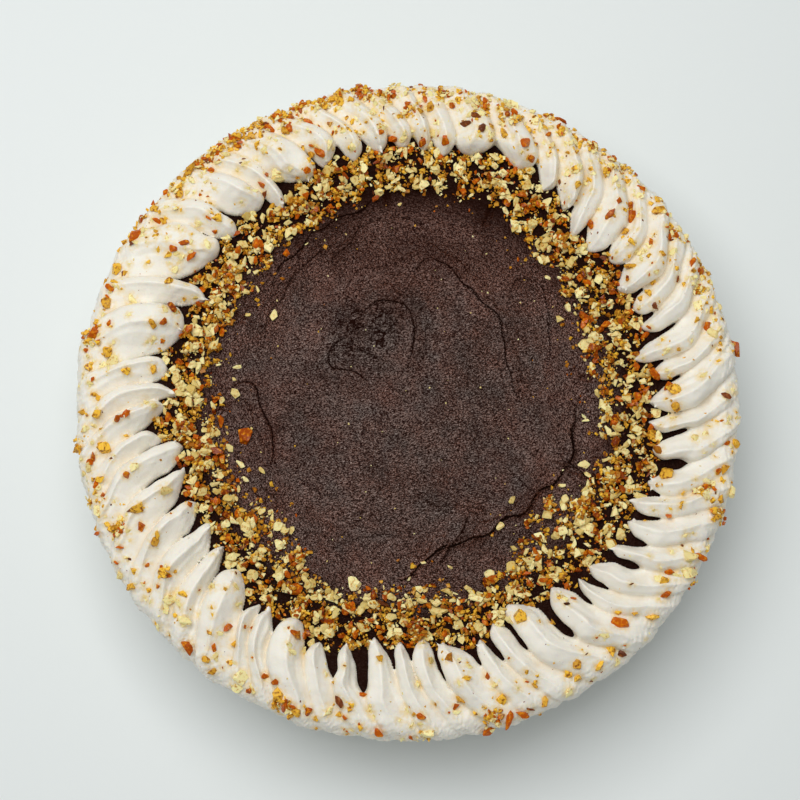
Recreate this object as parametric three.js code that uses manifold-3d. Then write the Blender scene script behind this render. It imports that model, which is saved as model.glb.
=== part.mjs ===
// A whole round chocolate pear cake: a cream-coated cake, a dark chocolate glaze spread on top,
// a border of piped cream ridges that starts on the side and runs in over the glaze, and chopped
// roasted nuts. Millimetres, +Z up, origin at the middle of the flat base. Angles are in degrees,
// counter-clockwise seen from above, from +X.
import * as THREE from "three";
import { ConvexGeometry } from "three/addons/geometries/ConvexGeometry.js";
import { mergeVertices } from "three/addons/utils/BufferGeometryUtils.js";
import Module from "manifold-3d";

const wasm = await Module();
wasm.setup();

// The cake and its coat of cream: a 26 cm round
const coat = {
  radius: 131,
  footRadius: 128,
  footHeight: 1.5,
  wallLevels: [9, 22, 35, 46],
  shoulderRadius: 6,
  top: 60,
  lipInnerRadius: 124.7,
  recessFloor: 56,
  unevenness: 0.9, // how deep the palette knife's waves are on the side
  segments: 64,
};

// The chocolate glaze, spread over the top as far as the coat's lip
const glaze = {
  radius: 124,
  bottom: 56.3,
  top: 60,
  edge: 0.6, // bevel
  waveHeight: 0.7, // the knife's strokes, which fade out before the piped border
  waveFadeFrom: 66,
  waveFadeTo: 96,
  ringRadii: [104, 90, 78, 64, 46, 24],
  segments: 48,
};

// The piped border
const border = {
  ridgeCount: 57,
  pitchJitter: 0.13,
  clearance: 0.4, // under a ridge, to the coat and the glaze
  sideGap: 0.15, // half the gap between neighbours
  startHeight: 48.5, // where a ridge begins on the side
  startJitter: 1,
  shoulderedRadius: 115, // as far in as here the ridges lie side by side
  crestHeight: 9.8,
  crestJitter: 0.1,
  sweep: 12.5, // how far round each ridge runs, in degrees
  sweepPower: 1.7, // it turns most at the rim
  bend: 0.8, // how far a tip may lean to either side, as a share of its free room
};

// The tips reach in to a slightly oval line, less far on the side at farSide
const tips = { radius: 98.5, oval: 5.5, farSide: 80, jitter: 3 };

// Stretches where the ridges were piped wider, as bumps on the even pitch
const wideStretches = [
  { at: 160, spread: 20, extra: 0.62 },
  { at: 308, spread: 9, extra: 0.45 },
];

// Chopped nuts, the largest only: the crumbs between them are too small for the solid
const nuts = {
  onGlaze: 112,
  onBorder: 40,
  onSide: 7,
  smallest: 3.4,
  largest: 7.4,
  largestOnSide: 5.5,
  sideFrom: 16,
  sideTo: 40,
  corners: 8,
  flatness: [1, 0.78, 0.56],
  tilt: 0.5, // radians
  sunk: 0.12, // the middle's height over the glaze, as a share of its size
  bandInnerRadius: 78,
  bandGap: 1.2, // kept from the tips
};

const degree = Math.PI / 180;
const goldenAngle = 137.508;
const { clamp, lerp, smoothstep } = THREE.MathUtils;

// A repeatable number from 0 to 1 for each seed, and one from -1 to 1
function chance(seed) {
  const s = Math.sin(seed * 127.1 + 311.7) * 43758.5453;
  return s - Math.floor(s);
}

function swing(seed) {
  return 2 * chance(seed) - 1;
}

function polar(radius, angle, z) {
  return new THREE.Vector3(radius * Math.cos(angle * degree), radius * Math.sin(angle * degree), z);
}

// Reads a curve given as [place, value] pairs
function along(curve, t) {
  const next = Math.max(1, curve.findIndex(([place]) => t <= place));
  const [t0, v0] = curve[next - 1];
  const [t1, v1] = curve[next];
  return lerp(v0, v1, clamp((t - t0) / (t1 - t0), 0, 1));
}

// Turns a closed three.js geometry into a solid that can be joined
function solidOf(geometry) {
  const bare = new THREE.BufferGeometry();
  bare.setAttribute("position", geometry.getAttribute("position"));
  if (geometry.index) bare.setIndex(geometry.index);
  const merged = mergeVertices(bare, 1e-4);
  const vertProperties = new Float32Array(merged.getAttribute("position").array);
  const triVerts = new Uint32Array(merged.index.array);
  return new wasm.Manifold(new wasm.Mesh({ numProp: 3, vertProperties, triVerts }));
}

function join(solids) {
  return solids.reduce((whole, piece) => whole.add(piece));
}

function namedMesh(name, solid, material) {
  const { vertProperties, triVerts } = solid.getMesh();
  const geometry = new THREE.BufferGeometry();
  geometry.setAttribute("position", new THREE.BufferAttribute(vertProperties, 3));
  geometry.setIndex(new THREE.BufferAttribute(triVerts, 1));
  geometry.computeVertexNormals();
  const mesh = new THREE.Mesh(geometry, material);
  mesh.name = name;
  return mesh;
}

// Skins a row of rings into a closed geometry. Each end is a fan, from the point given for it or
// from the ring's first point. The quads of a ring's two halves are split as mirror images, so that
// the sides of two neighbouring ridges are split alike
function skin(rings, firstMiddle, lastMiddle) {
  const count = rings[0].length;
  const points = rings.flat();
  const faces = [];
  for (let row = 0; row + 1 < rings.length; row++) {
    for (let k = 0; k < count; k++) {
      const a = row * count + k;
      const b = row * count + ((k + 1) % count);
      const firstHalf = k < count / 2;
      faces.push(a, b, firstHalf ? a + count : b + count);
      faces.push(firstHalf ? b : a, b + count, a + count);
    }
  }
  const closeEnd = (offset, middle, facing) => {
    const hub = middle ? points.push(middle) - 1 : offset;
    for (let k = 0; k < count; k++) {
      const a = offset + k;
      const b = offset + ((k + 1) % count);
      if (a === hub || b === hub) continue;
      faces.push(hub, ...(facing ? [a, b] : [b, a]));
    }
  };
  closeEnd(0, firstMiddle, false);
  closeEnd((rings.length - 1) * count, lastMiddle, true);
  const geometry = new THREE.BufferGeometry();
  const positions = points.flatMap((point) => point.toArray());
  geometry.setAttribute("position", new THREE.Float32BufferAttribute(positions, 3));
  geometry.setIndex(faces);
  return geometry;
}

// One chopped nut: a flat, angular chip about size across
function nut(place, size, seed) {
  const corners = Array.from({ length: nuts.corners }, (_, i) => {
    const height = 1 - (2 * i + 1) / nuts.corners;
    const turn = (i * goldenAngle + 50 * chance(seed * 13 + i)) * degree;
    const out = Math.sqrt(1 - height * height);
    const reach = size * 0.5 * lerp(0.8, 1.12, chance(seed * 17 + i));
    return new THREE.Vector3(out * Math.cos(turn), out * Math.sin(turn), height)
      .multiplyScalar(reach)
      .multiply(new THREE.Vector3(...nuts.flatness));
  });
  const geometry = new ConvexGeometry(corners);
  geometry.rotateX(nuts.tilt * swing(seed + 0.1));
  geometry.rotateY(nuts.tilt * swing(seed + 0.2));
  geometry.rotateZ(Math.PI * swing(seed + 0.3));
  geometry.translate(place.x, place.y, place.z);
  return solidOf(geometry);
}

// Low waves that the palette knife leaves on the side, never outside the coat's radius
function sideWave(angle, z) {
  const fade = smoothstep(z, 2, 12) * (1 - smoothstep(z, 36, 45));
  const waves = Math.sin(7 * angle * degree + z * 0.11) + Math.sin(11 * angle * degree - z * 0.07);
  return coat.unevenness * fade * (waves / 4 - 0.5);
}

// A point over the rounded shoulder, as radius and height, where turn 0 faces out and 90 up
function shoulder(turn, clearance) {
  const reach = coat.shoulderRadius + clearance;
  return new THREE.Vector2(
    coat.radius - coat.shoulderRadius + reach * Math.cos(turn * degree),
    coat.top - coat.shoulderRadius + reach * Math.sin(turn * degree),
  );
}

function coatedCake() {
  const outline = [
    new THREE.Vector2(0, 0),
    new THREE.Vector2(coat.footRadius, 0),
    new THREE.Vector2(lerp(coat.footRadius, coat.radius, 0.6), coat.footHeight),
    ...coat.wallLevels.map((z) => new THREE.Vector2(coat.radius, z)),
    ...[0, 45, 90].map((turn) => shoulder(turn, 0)),
    new THREE.Vector2(coat.lipInnerRadius, coat.recessFloor),
    new THREE.Vector2(0, coat.recessFloor),
  ];
  const geometry = new THREE.LatheGeometry(outline, coat.segments);
  geometry.rotateX(Math.PI / 2);
  const position = geometry.getAttribute("position");
  for (let i = 0; i < position.count; i++) {
    const place = new THREE.Vector3().fromBufferAttribute(position, i);
    const radius = Math.hypot(place.x, place.y);
    if (radius < coat.footRadius) continue;
    const grown = 1 + sideWave(Math.atan2(place.y, place.x) / degree, place.z) / radius;
    position.setXY(i, place.x * grown, place.y * grown);
  }
  const stuckNuts = Array.from({ length: nuts.onSide }, (_, i) => {
    const angle = ((i + chance(i + 900)) * 360) / nuts.onSide;
    const z = lerp(nuts.sideFrom, nuts.sideTo, chance(i + 930));
    const size = lerp(nuts.smallest, nuts.largestOnSide, chance(i + 960));
    return nut(polar(coat.radius + sideWave(angle, z), angle, z), size, i + 990);
  });
  return join([solidOf(geometry), ...stuckNuts]);
}

// The height of the glaze: broad knife strokes that cross, level near the border
function glazeTop(radius, angle) {
  const { x, y } = polar(radius, angle, 0);
  const fade = 1 - smoothstep(radius, glaze.waveFadeFrom, glaze.waveFadeTo);
  const strokes = Math.sin(x * 0.045 + y * 0.03 + 1) + Math.sin(y * 0.06 - x * 0.02);
  return glaze.top + glaze.waveHeight * fade * (strokes / 2 - 0.2);
}

function spreadGlaze() {
  const ring = (radius, heightAt) =>
    Array.from({ length: glaze.segments }, (_, k) => {
      const angle = (k * 360) / glaze.segments;
      return polar(radius, angle, heightAt(radius, angle));
    });
  const rings = [
    ring(glaze.radius - glaze.edge, () => glaze.bottom),
    ring(glaze.radius, () => glaze.bottom + glaze.edge),
    ring(glaze.radius, () => glaze.top - glaze.edge),
    ...glaze.ringRadii.map((radius) => ring(radius, glazeTop)),
  ];
  const disc = skin(rings, polar(0, 0, glaze.bottom), polar(0, 0, glazeTop(0, 0)));
  return join([solidOf(disc), ...nutBand()]);
}

function tipRadiusAt(angle) {
  return tips.radius + tips.oval * Math.cos((angle - tips.farSide) * degree);
}

// The largest nuts of the band that lies on the glaze inside the ridges' tips, largest first
function nutBand() {
  return Array.from({ length: nuts.onGlaze }, (_, i) => {
    const angle = (i * goldenAngle) % 360;
    const size = lerp(nuts.largest, nuts.smallest, Math.sqrt(i / nuts.onGlaze));
    const shift = tipRadiusAt(angle) - tips.radius;
    const inner = nuts.bandInnerRadius + shift;
    const outer = tips.radius + shift - tips.jitter - nuts.bandGap - size / 2;
    const radius = lerp(inner, outer, chance(i + 0.5));
    return nut(polar(radius, angle, glazeTop(radius, angle) + size * nuts.sunk), size, i + 40);
  });
}

// The rim angles between which the ridges lie: an even pitch, but wider in the wide stretches
function ridgeBounds() {
  const evenPitch = 360 / border.ridgeCount;
  const pitches = Array.from({ length: border.ridgeCount }, (_, i) => {
    const bump = ({ at, spread, extra }) => extra * Math.exp(-(((i * evenPitch - at) / spread) ** 2));
    const widening = wideStretches.reduce((sum, stretch) => sum + bump(stretch), 1);
    return widening * (1 + border.pitchJitter * swing(i + 0.7));
  });
  const scale = 360 / pitches.reduce((sum, pitch) => sum + pitch, 0);
  let angle = 0;
  return pitches.map((pitch) => {
    const from = angle;
    angle += pitch * scale;
    return [from, angle];
  });
}

// A ridge from its start on the side, at 0, to its tip, at 1: the crest's height, the width of the
// ridge, and how far up the valleys beside it stand, each as a share
const crestAlong = [[0, 0.1], [0.12, 0.34], [0.24, 0.5], [0.36, 0.7], [0.58, 1], [0.76, 0.95], [0.9, 0.62], [1, 0.16]];
const widthAlong = [[0, 0.55], [0.12, 0.92], [0.24, 1], [0.58, 1], [0.76, 0.78], [0.9, 0.48], [1, 0.12]];
const valleyAlong = [[0, 0.5], [0.36, 0.42], [0.58, 0.24], [0.76, 0.14], [1, 0.3]];
const onGlazeFrom = 0.58;

// How far round the lines between the ridges have turned: the same for all, so that neighbours fit
function turnedAt(radius, share) {
  const deepest = tips.radius - tips.oval - tips.jitter;
  const inwards = (border.shoulderedRadius - radius) / (border.shoulderedRadius - deepest);
  const travelled = share < onGlazeFrom ? share : lerp(onGlazeFrom, 1, clamp(inwards, 0, 1));
  return border.sweep * (1 - (1 - travelled) ** border.sweepPower);
}

// Across a ridge from its clockwise side: the crest is a soft fin that stands near that side
const finPoints = [
  { across: -0.74, height: 0.7 },
  { across: -0.3, height: 1 },
  { across: 0.35, height: 0.62 },
];

// The stations of a ridge: its foot follows the wall, the shoulder and the glaze
function stationsOf(tipRadius, startHeight) {
  const level = coat.top + border.clearance;
  const inwards = (share) => {
    const radius = lerp(border.shoulderedRadius, tipRadius, (share - onGlazeFrom) / (1 - onGlazeFrom));
    return { foot: new THREE.Vector2(radius, level), facing: 90, share };
  };
  return [
    { foot: new THREE.Vector2(coat.radius + border.clearance, startHeight), facing: 0, share: 0 },
    { foot: shoulder(0, border.clearance), facing: 0, share: 0.12 },
    { foot: shoulder(45, border.clearance), facing: 45, share: 0.24 },
    { foot: shoulder(90, border.clearance), facing: 90, share: 0.36 },
    ...[onGlazeFrom, 0.76, 0.9, 1].map(inwards),
  ];
}

// One piped ridge, and the places on its crest where a nut can sit
function ridge(index, [low, high]) {
  const tipRadius = tipRadiusAt(low - border.sweep) + tips.jitter * swing(index + 7.7);
  const startHeight = border.startHeight + border.startJitter * swing(index + 5.5);
  const plump = clamp(((high - low) * border.ridgeCount) / 360, 0.85, 1.2);
  const crest = border.crestHeight * plump * (1 + border.crestJitter * swing(index + 3.3));
  const lean = border.bend * swing(index + 9.1);
  const crestPlaces = [];
  const rings = stationsOf(tipRadius, startHeight).map(({ foot, facing, share }) => {
    const room = (high - low) / 2;
    const wide = along(widthAlong, share);
    const leaning = share > onGlazeFrom ? room * (1 - wide) * lean : 0;
    const middle = (low + high) / 2 - turnedAt(foot.x, share) + leaning;
    const half = room * wide - border.sideGap / (foot.x * degree);
    const height = crest * along(crestAlong, share);
    const valley = height * along(valleyAlong, share);
    const at = (across, lift) => {
      const radius = foot.x + lift * Math.cos(facing * degree);
      return polar(radius, middle + across * half, foot.y + lift * Math.sin(facing * degree));
    };
    crestPlaces.push({ place: at(-0.3, height), room: half * degree * foot.x });
    return [
      at(0, 0),
      at(-1, 0),
      at(-1, valley),
      ...finPoints.map((fin) => at(fin.across, Math.max(valley, fin.height * height))),
      at(1, valley),
      at(1, 0),
    ];
  });
  return { solid: solidOf(skin(rings)), crestPlaces };
}

// Some ridges carry a large nut, spread evenly round the border
function pipedRidge(index, bounds) {
  const { solid, crestPlaces } = ridge(index, bounds);
  const share = nuts.onBorder / border.ridgeCount;
  const carriesNut = Math.floor((index + 1) * share) > Math.floor(index * share);
  if (!carriesNut) return solid;
  const { place, room } = crestPlaces[1 + Math.floor(4 * chance(index + 21.4))];
  const size = Math.min(lerp(nuts.smallest, nuts.largest, chance(index + 31.9)), room * 1.1);
  return solid.add(nut(place, size, index + 300));
}

const cream = new THREE.MeshStandardMaterial({ color: 0xefe6d6, roughness: 0.55, metalness: 0 });
const chocolate = new THREE.MeshStandardMaterial({ color: 0x3a241b, roughness: 0.45, metalness: 0 });

const cake = new THREE.Group();
cake.add(namedMesh("coated_cake", coatedCake(), cream));
cake.add(namedMesh("chocolate_glaze", spreadGlaze(), chocolate));
ridgeBounds().forEach((bounds, index) => {
  const number = String(index + 1).padStart(2, "0");
  cake.add(namedMesh(`cream_ridge_${number}`, pipedRidge(index, bounds), cream));
});

export default cake;
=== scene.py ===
import math
import time

import bmesh
import bpy
import numpy as np
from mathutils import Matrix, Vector
from mathutils.bvhtree import BVHTree
from mathutils.kdtree import KDTree


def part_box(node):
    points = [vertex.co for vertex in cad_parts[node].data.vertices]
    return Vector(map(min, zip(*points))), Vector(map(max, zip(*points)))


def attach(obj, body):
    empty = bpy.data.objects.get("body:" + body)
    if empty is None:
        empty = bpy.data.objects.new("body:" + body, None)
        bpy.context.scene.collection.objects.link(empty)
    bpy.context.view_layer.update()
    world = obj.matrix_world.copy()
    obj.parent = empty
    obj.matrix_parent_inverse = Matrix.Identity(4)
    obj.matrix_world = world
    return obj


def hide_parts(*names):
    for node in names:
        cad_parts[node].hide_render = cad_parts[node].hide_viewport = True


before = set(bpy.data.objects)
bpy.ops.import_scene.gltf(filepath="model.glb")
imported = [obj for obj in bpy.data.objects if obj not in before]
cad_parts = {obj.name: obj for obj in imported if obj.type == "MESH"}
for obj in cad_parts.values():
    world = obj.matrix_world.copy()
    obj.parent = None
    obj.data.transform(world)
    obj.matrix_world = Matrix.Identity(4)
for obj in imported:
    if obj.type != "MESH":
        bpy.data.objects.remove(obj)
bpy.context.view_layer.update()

mm = 0.001
degree = math.pi / 180
startedAt = time.time()


def stage(text):
    print(f"{text} ({time.time() - startedAt:.0f} s)")


def chance(seed):  # a repeatable number from 0 to 1
    s = math.sin(seed * 127.1 + 311.7) * 43758.5453
    return s - math.floor(s)


def swing(seed):  # the same from -1 to 1
    return 2 * chance(seed) - 1


def easeStep(low, high, value):
    t = np.clip((value - low) / (high - low), 0, 1)
    return t * t * (3 - 2 * t)


def softNoise(points, size, seed, layers=5):  # smooth waves of about that size, roughly -1 to 1
    rng = np.random.RandomState(seed)
    total = np.zeros(len(points))
    for _ in range(layers * 2):
        way = rng.normal(size=points.shape[1])
        way *= 2 * math.pi / (size * rng.uniform(0.7, 1.5) * np.linalg.norm(way))
        total += np.sin(points @ way + rng.uniform(0, 2 * math.pi))
    return total / math.sqrt(layers * 2)


def meshPiece(name, points, faces, flat=False):
    mesh = bpy.data.meshes.new(name)
    mesh.from_pydata((np.asarray(points) * mm).tolist(), [], [list(face) for face in faces])
    mesh.validate()
    mesh.polygons.foreach_set("use_smooth", [not flat] * len(mesh.polygons))
    piece = bpy.data.objects.new(name, mesh)
    bpy.context.scene.collection.objects.link(piece)
    return piece


def gridFaces(rows, columns, offset=0):  # quads between rows of points that close on themselves
    a = np.arange(columns)
    b = (a + 1) % columns
    ring = np.stack([a, b, b + columns, a + columns], axis=1)
    return (ring[None] + (np.arange(rows - 1) * columns)[:, None, None] + offset).reshape(-1, 4)


def readPoints(piece):
    mesh = piece.data
    points = np.empty(len(mesh.vertices) * 3)
    mesh.vertices.foreach_get("co", points)
    return points.reshape(-1, 3) / mm


def readNormals(piece):
    mesh = piece.data
    normals = np.empty(len(mesh.vertices) * 3)
    mesh.vertices.foreach_get("normal", normals)
    return normals.reshape(-1, 3)


def writePoints(piece, points):
    piece.data.vertices.foreach_set("co", (points * mm).ravel())
    piece.data.update()


def paint(piece, name, values):  # a number at each vertex that a material can read
    layer = piece.data.attributes.new(name, "FLOAT", "POINT")
    layer.data.foreach_set("value", np.asarray(values, dtype=np.float32))


def applyModifiers(piece):
    seen = piece.evaluated_get(bpy.context.evaluated_depsgraph_get())
    mesh = bpy.data.meshes.new_from_object(seen)
    piece.modifiers.clear()
    piece.data = mesh
    mesh.polygons.foreach_set("use_smooth", [True] * len(mesh.polygons))


def unevenness(piece, rounds, scale):  # 1 in valleys of that depth and -1 on such ridges, in mm
    mesh = piece.data
    points = readPoints(piece)
    ends = np.empty(len(mesh.edges) * 2, dtype=np.int64)
    mesh.edges.foreach_get("vertices", ends)
    a, b = ends.reshape(-1, 2).T
    count = np.bincount(a, minlength=len(points)) + np.bincount(b, minlength=len(points))
    soft = points.copy()
    for _ in range(rounds):
        axes = [np.bincount(a, soft[b, k], len(points)) + np.bincount(b, soft[a, k], len(points))
                for k in range(3)]
        soft = np.stack(axes, axis=1) / count[:, None]
    depth = ((soft - points) * readNormals(piece)).sum(1)
    return np.clip(depth / scale, -1, 1)


# The cake's main sizes, from the frame
coatLow, coatHigh = (np.array(corner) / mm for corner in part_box("coated_cake"))
glazeLow, glazeHigh = (np.array(corner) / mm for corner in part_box("chocolate_glaze"))
coatRadius = (coatHigh[0] - coatLow[0]) / 2
coatTop = coatHigh[2]
glazeRadius = (glazeHigh[0] - glazeLow[0]) / 2
glazeTop = coatTop
ridgeNodes = sorted(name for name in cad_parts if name.startswith("cream_ridge_"))


# The piped border: each ridge starts on the side, runs over the shoulder and in over the glaze
border = {
    "startHeight": 48.5,  # where a ridge begins on the side
    "startJitter": 1,
    "shoulderRadius": 6,
    "shoulderedRadius": 115,  # as far in as here the ridges lie side by side
    "crestHeight": 9.8,
    "crestJitter": 0.1,
    "pitchJitter": 0.13,
    "wideStretches": [(160, 20, 0.62), (308, 9, 0.45)],  # angle, spread, how much wider
    "sweep": 12.5,  # how far round each ridge runs
    "sweepPower": 1.7,  # it turns most at the rim
    "innermost": 90,  # no tip reaches further in
    "tipLength": 8,  # over this length a tip narrows to its end
    "sunk": 0.9,  # how deep a ridge sits in what carries it
    "edgeWave": 0.45,  # how the lines between the ridges wander, in degrees
    "leastGap": 0.5,  # between two tips, in degrees
    "bead": 0.65,  # the fine line on a crest, as high as it is wide
    "secondLine": (0.8, 0.9),  # a lower one on the back of some: height, width
    "dip": (0.7, 1.3),  # a trough beside it: depth, width
    "dragLines": 0.035,
    "wander": 0.14,  # how the crest shifts across the ridge along its length
    "lean": 0.3,  # and as a whole
    "torn": 0.4,  # how far the counter-clockwise edge of a tip is frayed
    "relief": [(0.2, 11, 3), (0.07, 3.4, 4), (0.035, 1.4, 5)],  # waves in the cream: height, size, seed
    "rough": 0.17,  # lumps along the rim
    "roughFrom": (122, 131),
    "nibs": 2.6,  # a slim tip has fewer small peaks than this
    "slimBelow": 0.65,
    "nibLength": (1.3, 1.5),  # the least, and how much more it can be
    "nibWidth": (0.6, 0.5),
    # the cream is painted with warm shade in these hollows
    "hollowShade": (16, 0.9),  # what counts as a hollow: rounds of smoothing, depth
    "stations": 80,
    "sectionPoints": 44,
    "voxel": 0.42,
    "voxelQuick": 0.8,
    "triangles": 170000,  # in each half of the border
}

# Shares of a ridge's length: it leaves the side, has passed the shoulder, and leaves its neighbours
shoulderFrom, topFrom, onGlazeFrom = 0.12, 0.36, 0.58
crestAlong = np.array([[0, 0.05], [0.06, 0.18], [0.12, 0.3], [0.24, 0.46], [0.36, 0.66], [0.48, 0.87],
                       [0.62, 1], [0.76, 0.95], [0.87, 0.77], [0.94, 0.55], [0.98, 0.34], [1, 0.12]])
widthAlong = np.array([[0, 0.25], [0.05, 0.66], [0.12, 0.95], [0.24, 1.06], [0.42, 1.04], [0.6, 0.97]])

# Each ridge: its two sides just before it narrows, the angle and radius of its tip, the radius where the
# gap after it closes, and how broad the tip is, from 0 to 1
ridgeTips = np.array([
    [-12.5, -7.3, -10.5, 99.5, 115, 0.8], [-6.3, -2.6, -4.2, 96.7, 105, 0.35],
    [-1.3, 5.2, 0.5, 97, 112.5, 0.4], [5.4, 9.5, 7.2, 99.5, 104, 0.7],
    [9.9, 15.6, 11.3, 92.8, 117.5, 0.4], [16.4, 20.9, 18.3, 99.3, 108, 0.8],
    [21.4, 26, 23, 99.4, 107, 0.9], [26.3, 32.6, 28.9, 97.3, 105, 0.6],
    [33.4, 38.2, 35.5, 101, 104, 0.95], [38.7, 44.6, 40.9, 96.5, 105, 0.6],
    [45.2, 49.8, 46.2, 95.5, 104, 0.35], [50.5, 56.3, 51.8, 102.4, 107, 0.5],
    [56.7, 61.8, 58.2, 104.2, 109, 0.7], [62, 71, 65.5, 107.5, 112, 0.5],
    [72.5, 80, 77, 106.3, 107, 0.9], [80.8, 85, 82, 103.8, 107, 0.6],
    [85.3, 89.8, 86.5, 105.5, 106, 0.7], [90, 94.5, 91, 105.8, 109, 0.7],
    [94.9, 100.6, 96.3, 105, 108, 0.5], [100.9, 105.6, 102, 103.3, 108, 0.7],
    [105.9, 111.8, 109, 104.3, 107, 0.6], [112, 120.2, 113.5, 101, 106, 0.6],
    [120.4, 125, 122.6, 94.5, 101, 0.5], [125.3, 133.5, 127, 100.5, 113.5, 0.8],
    [133.7, 139.1, 135.3, 98.6, 106, 0.8], [139.4, 151, 142, 98.6, 108, 0.8],
    [151.4, 156.6, 152.6, 91.8, 103, 0.3], [157.1, 169.2, 162, 95.2, 107, 0.6],
    [169.4, 175.2, 172, 98, 100, 0.9], [175.4, 179.5, 177.8, 93.2, 100, 0.35],
    [179.8, 185.8, 180.8, 97.5, 113, 0.7], [186.3, 190, 188.3, 100, 101, 0.8],
    [190.2, 197, 191, 91.8, 113, 0.5], [197.3, 204.8, 197, 93.4, 106, 0.4],
    [204.5, 211, 205.3, 93.4, 102.5, 0.6], [210.8, 217, 211.5, 92, 101, 0.35],
    [217.1, 223, 218, 92.8, 103, 0.35], [222.4, 232, 225, 94.8, 102.5, 0.6],
    [232.4, 235.4, 234, 99.7, 103, 0.7], [235.8, 239.7, 236.6, 98.8, 105, 0.4],
    [240, 247.6, 243, 96.2, 104, 0.95], [248.2, 252.6, 250, 101.5, 114, 0.5],
    [254.6, 258.3, 255.8, 99, 118.5, 0.4], [260.9, 266, 261.9, 94.2, 106.5, 0.35],
    [266.7, 271, 268, 95, 104, 0.5], [271.5, 276.4, 273.6, 93.8, 119, 0.7],
    [277, 284.2, 278, 96.4, 108.5, 0.6], [284.9, 289.3, 286.7, 98.5, 110, 0.4],
    [289.9, 294.5, 290.9, 93.9, 111, 0.5], [295.2, 302.5, 296.2, 90, 115.5, 0.7],
    [304.3, 311.2, 307.6, 93, 109, 0.4], [312, 315.6, 314, 97.2, 109, 0.6],
    [317, 322, 317.8, 96.4, 115, 0.4], [323.4, 328, 324.8, 99.3, 111.5, 0.6],
    [329.7, 334.3, 331.5, 99.3, 112, 0.5], [335, 339.8, 336.3, 97.5, 107, 0.4],
    [340.4, 345.4, 341.8, 101, 116, 0.6],
])

# The section across a ridge from its clockwise foot over the crest: place across as a share of the half
# width, and height as a share of the crest. The clockwise edge is steep and crisp, the back is nearly
# flat, and it meets the next ridge in a narrow crack
atRim = np.array([[-1.08, -0.1], [-1.08, 0.5], [-1.04, 0.78], [-0.9, 0.94], [-0.62, 1.0], [-0.2, 0.96],
                  [0.3, 0.84], [0.72, 0.74], [1.08, 0.62], [1.08, -0.1]])
sideBySide = np.array([[-1.02, -0.1], [-1.05, 0.3], [-1.01, 0.58], [-0.88, 0.82], [-0.62, 0.96],
                       [-0.34, 1.0], [0.04, 0.81], [0.48, 0.61], [1.06, 0.44], [1.06, -0.1]])
broadTip = np.array([[-0.8, -0.1], [-0.98, 0.2], [-1.01, 0.46], [-0.9, 0.74], [-0.64, 0.92], [-0.32, 1.0],
                     [0.14, 0.81], [0.6, 0.54], [0.98, 0.24], [0.84, -0.1]])
slimTip = np.array([[-0.65, -0.1], [-0.92, 0.18], [-0.98, 0.42], [-0.85, 0.7], [-0.55, 0.92], [-0.25, 1.0],
                    [0.16, 0.78], [0.58, 0.48], [0.94, 0.16], [0.7, -0.1]])


def roundLoop(count, samples):  # weights that turn control points into a smooth closed loop
    weights = np.zeros((samples, count))
    for row, u in enumerate(np.linspace(0, count, samples, endpoint=False)):
        i, f = int(u), u - int(u)
        cubic = [-f + 2 * f**2 - f**3, 2 - 5 * f**2 + 3 * f**3, f + 4 * f**2 - 3 * f**3, -f**2 + f**3]
        for step, weight in zip((-1, 0, 1, 2), cubic):
            weights[row, (i + step) % count] += weight / 2
    return weights


def ridgeBounds():  # the rim angles between which the ridges lie
    count = len(ridgeNodes)
    pitches = []
    for i in range(count):
        widening = 1
        for at, spread, extra in border["wideStretches"]:
            widening += extra * math.exp(-(((i * 360 / count - at) / spread) ** 2))
        pitches.append(widening * (1 + border["pitchJitter"] * swing(i + 0.7)))
    edges = np.concatenate([[0], np.cumsum(pitches)]) * 360 / sum(pitches)
    return list(zip(edges[:-1], edges[1:]))


def tipRadiusAt(angle):
    return np.interp(angle, ridgeTips[:, 2], ridgeTips[:, 3], period=360)


def turnedAt(radius, share):  # how far round the lines between the ridges have turned
    reach = border["shoulderedRadius"] - border["innermost"]
    inwards = np.clip((border["shoulderedRadius"] - radius) / reach, 0, 1)
    travelled = np.where(share < onGlazeFrom, share, onGlazeFrom + (1 - onGlazeFrom) * inwards)
    return border["sweep"] * (1 - (1 - travelled) ** border["sweepPower"])


def carrier(share, tipRadius, startHeight):  # the wall, shoulder and glaze that a ridge lies on
    reach = border["shoulderRadius"]
    facing = np.interp(share, [shoulderFrom, topFrom], [0, 90]) * degree
    onGlaze = np.interp(share, [topFrom, onGlazeFrom, 1],
                        [coatRadius - reach, border["shoulderedRadius"], tipRadius])
    radius = np.where(share > topFrom, onGlaze, coatRadius - reach + reach * np.cos(facing))
    height = coatTop - reach + reach * np.sin(facing)
    height -= np.interp(share, [0, shoulderFrom], [coatTop - reach - startHeight, 0])
    return radius, height, facing


def tipOf(index):
    whole, index = divmod(index, len(ridgeTips))
    return ridgeTips[index] + [360 * whole, 360 * whole, 360 * whole, 0, 0, 0]


def lineBetween(index, bounds, radius, share):  # the two sides of the gap after a ridge, in degrees
    before, after = tipOf(index), tipOf(index + 1)
    whole, number = divmod(index, len(bounds))
    rimAngle = bounds[number][1] + 360 * whole
    partedAt = (before[3] + after[3]) / 2 + border["tipLength"]
    shift = (before[1] + after[0]) / 2 - (rimAngle - turnedAt(partedAt, 1))
    waves, phase = 4 + 4 * chance(number + 33), 6.3 * chance(number + 34)
    line = rimAngle - turnedAt(radius, share) + shift * easeStep(shoulderFrom, onGlazeFrom, share)
    line = line + border["edgeWave"] * np.sin(share * waves + phase) * easeStep(0.15, 0.6, share)
    gap = max(after[0] - before[1], border["leastGap"]) * easeStep(before[4] + 1, before[4] - 5, radius)
    return line - gap / 2, line + gap / 2


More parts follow.
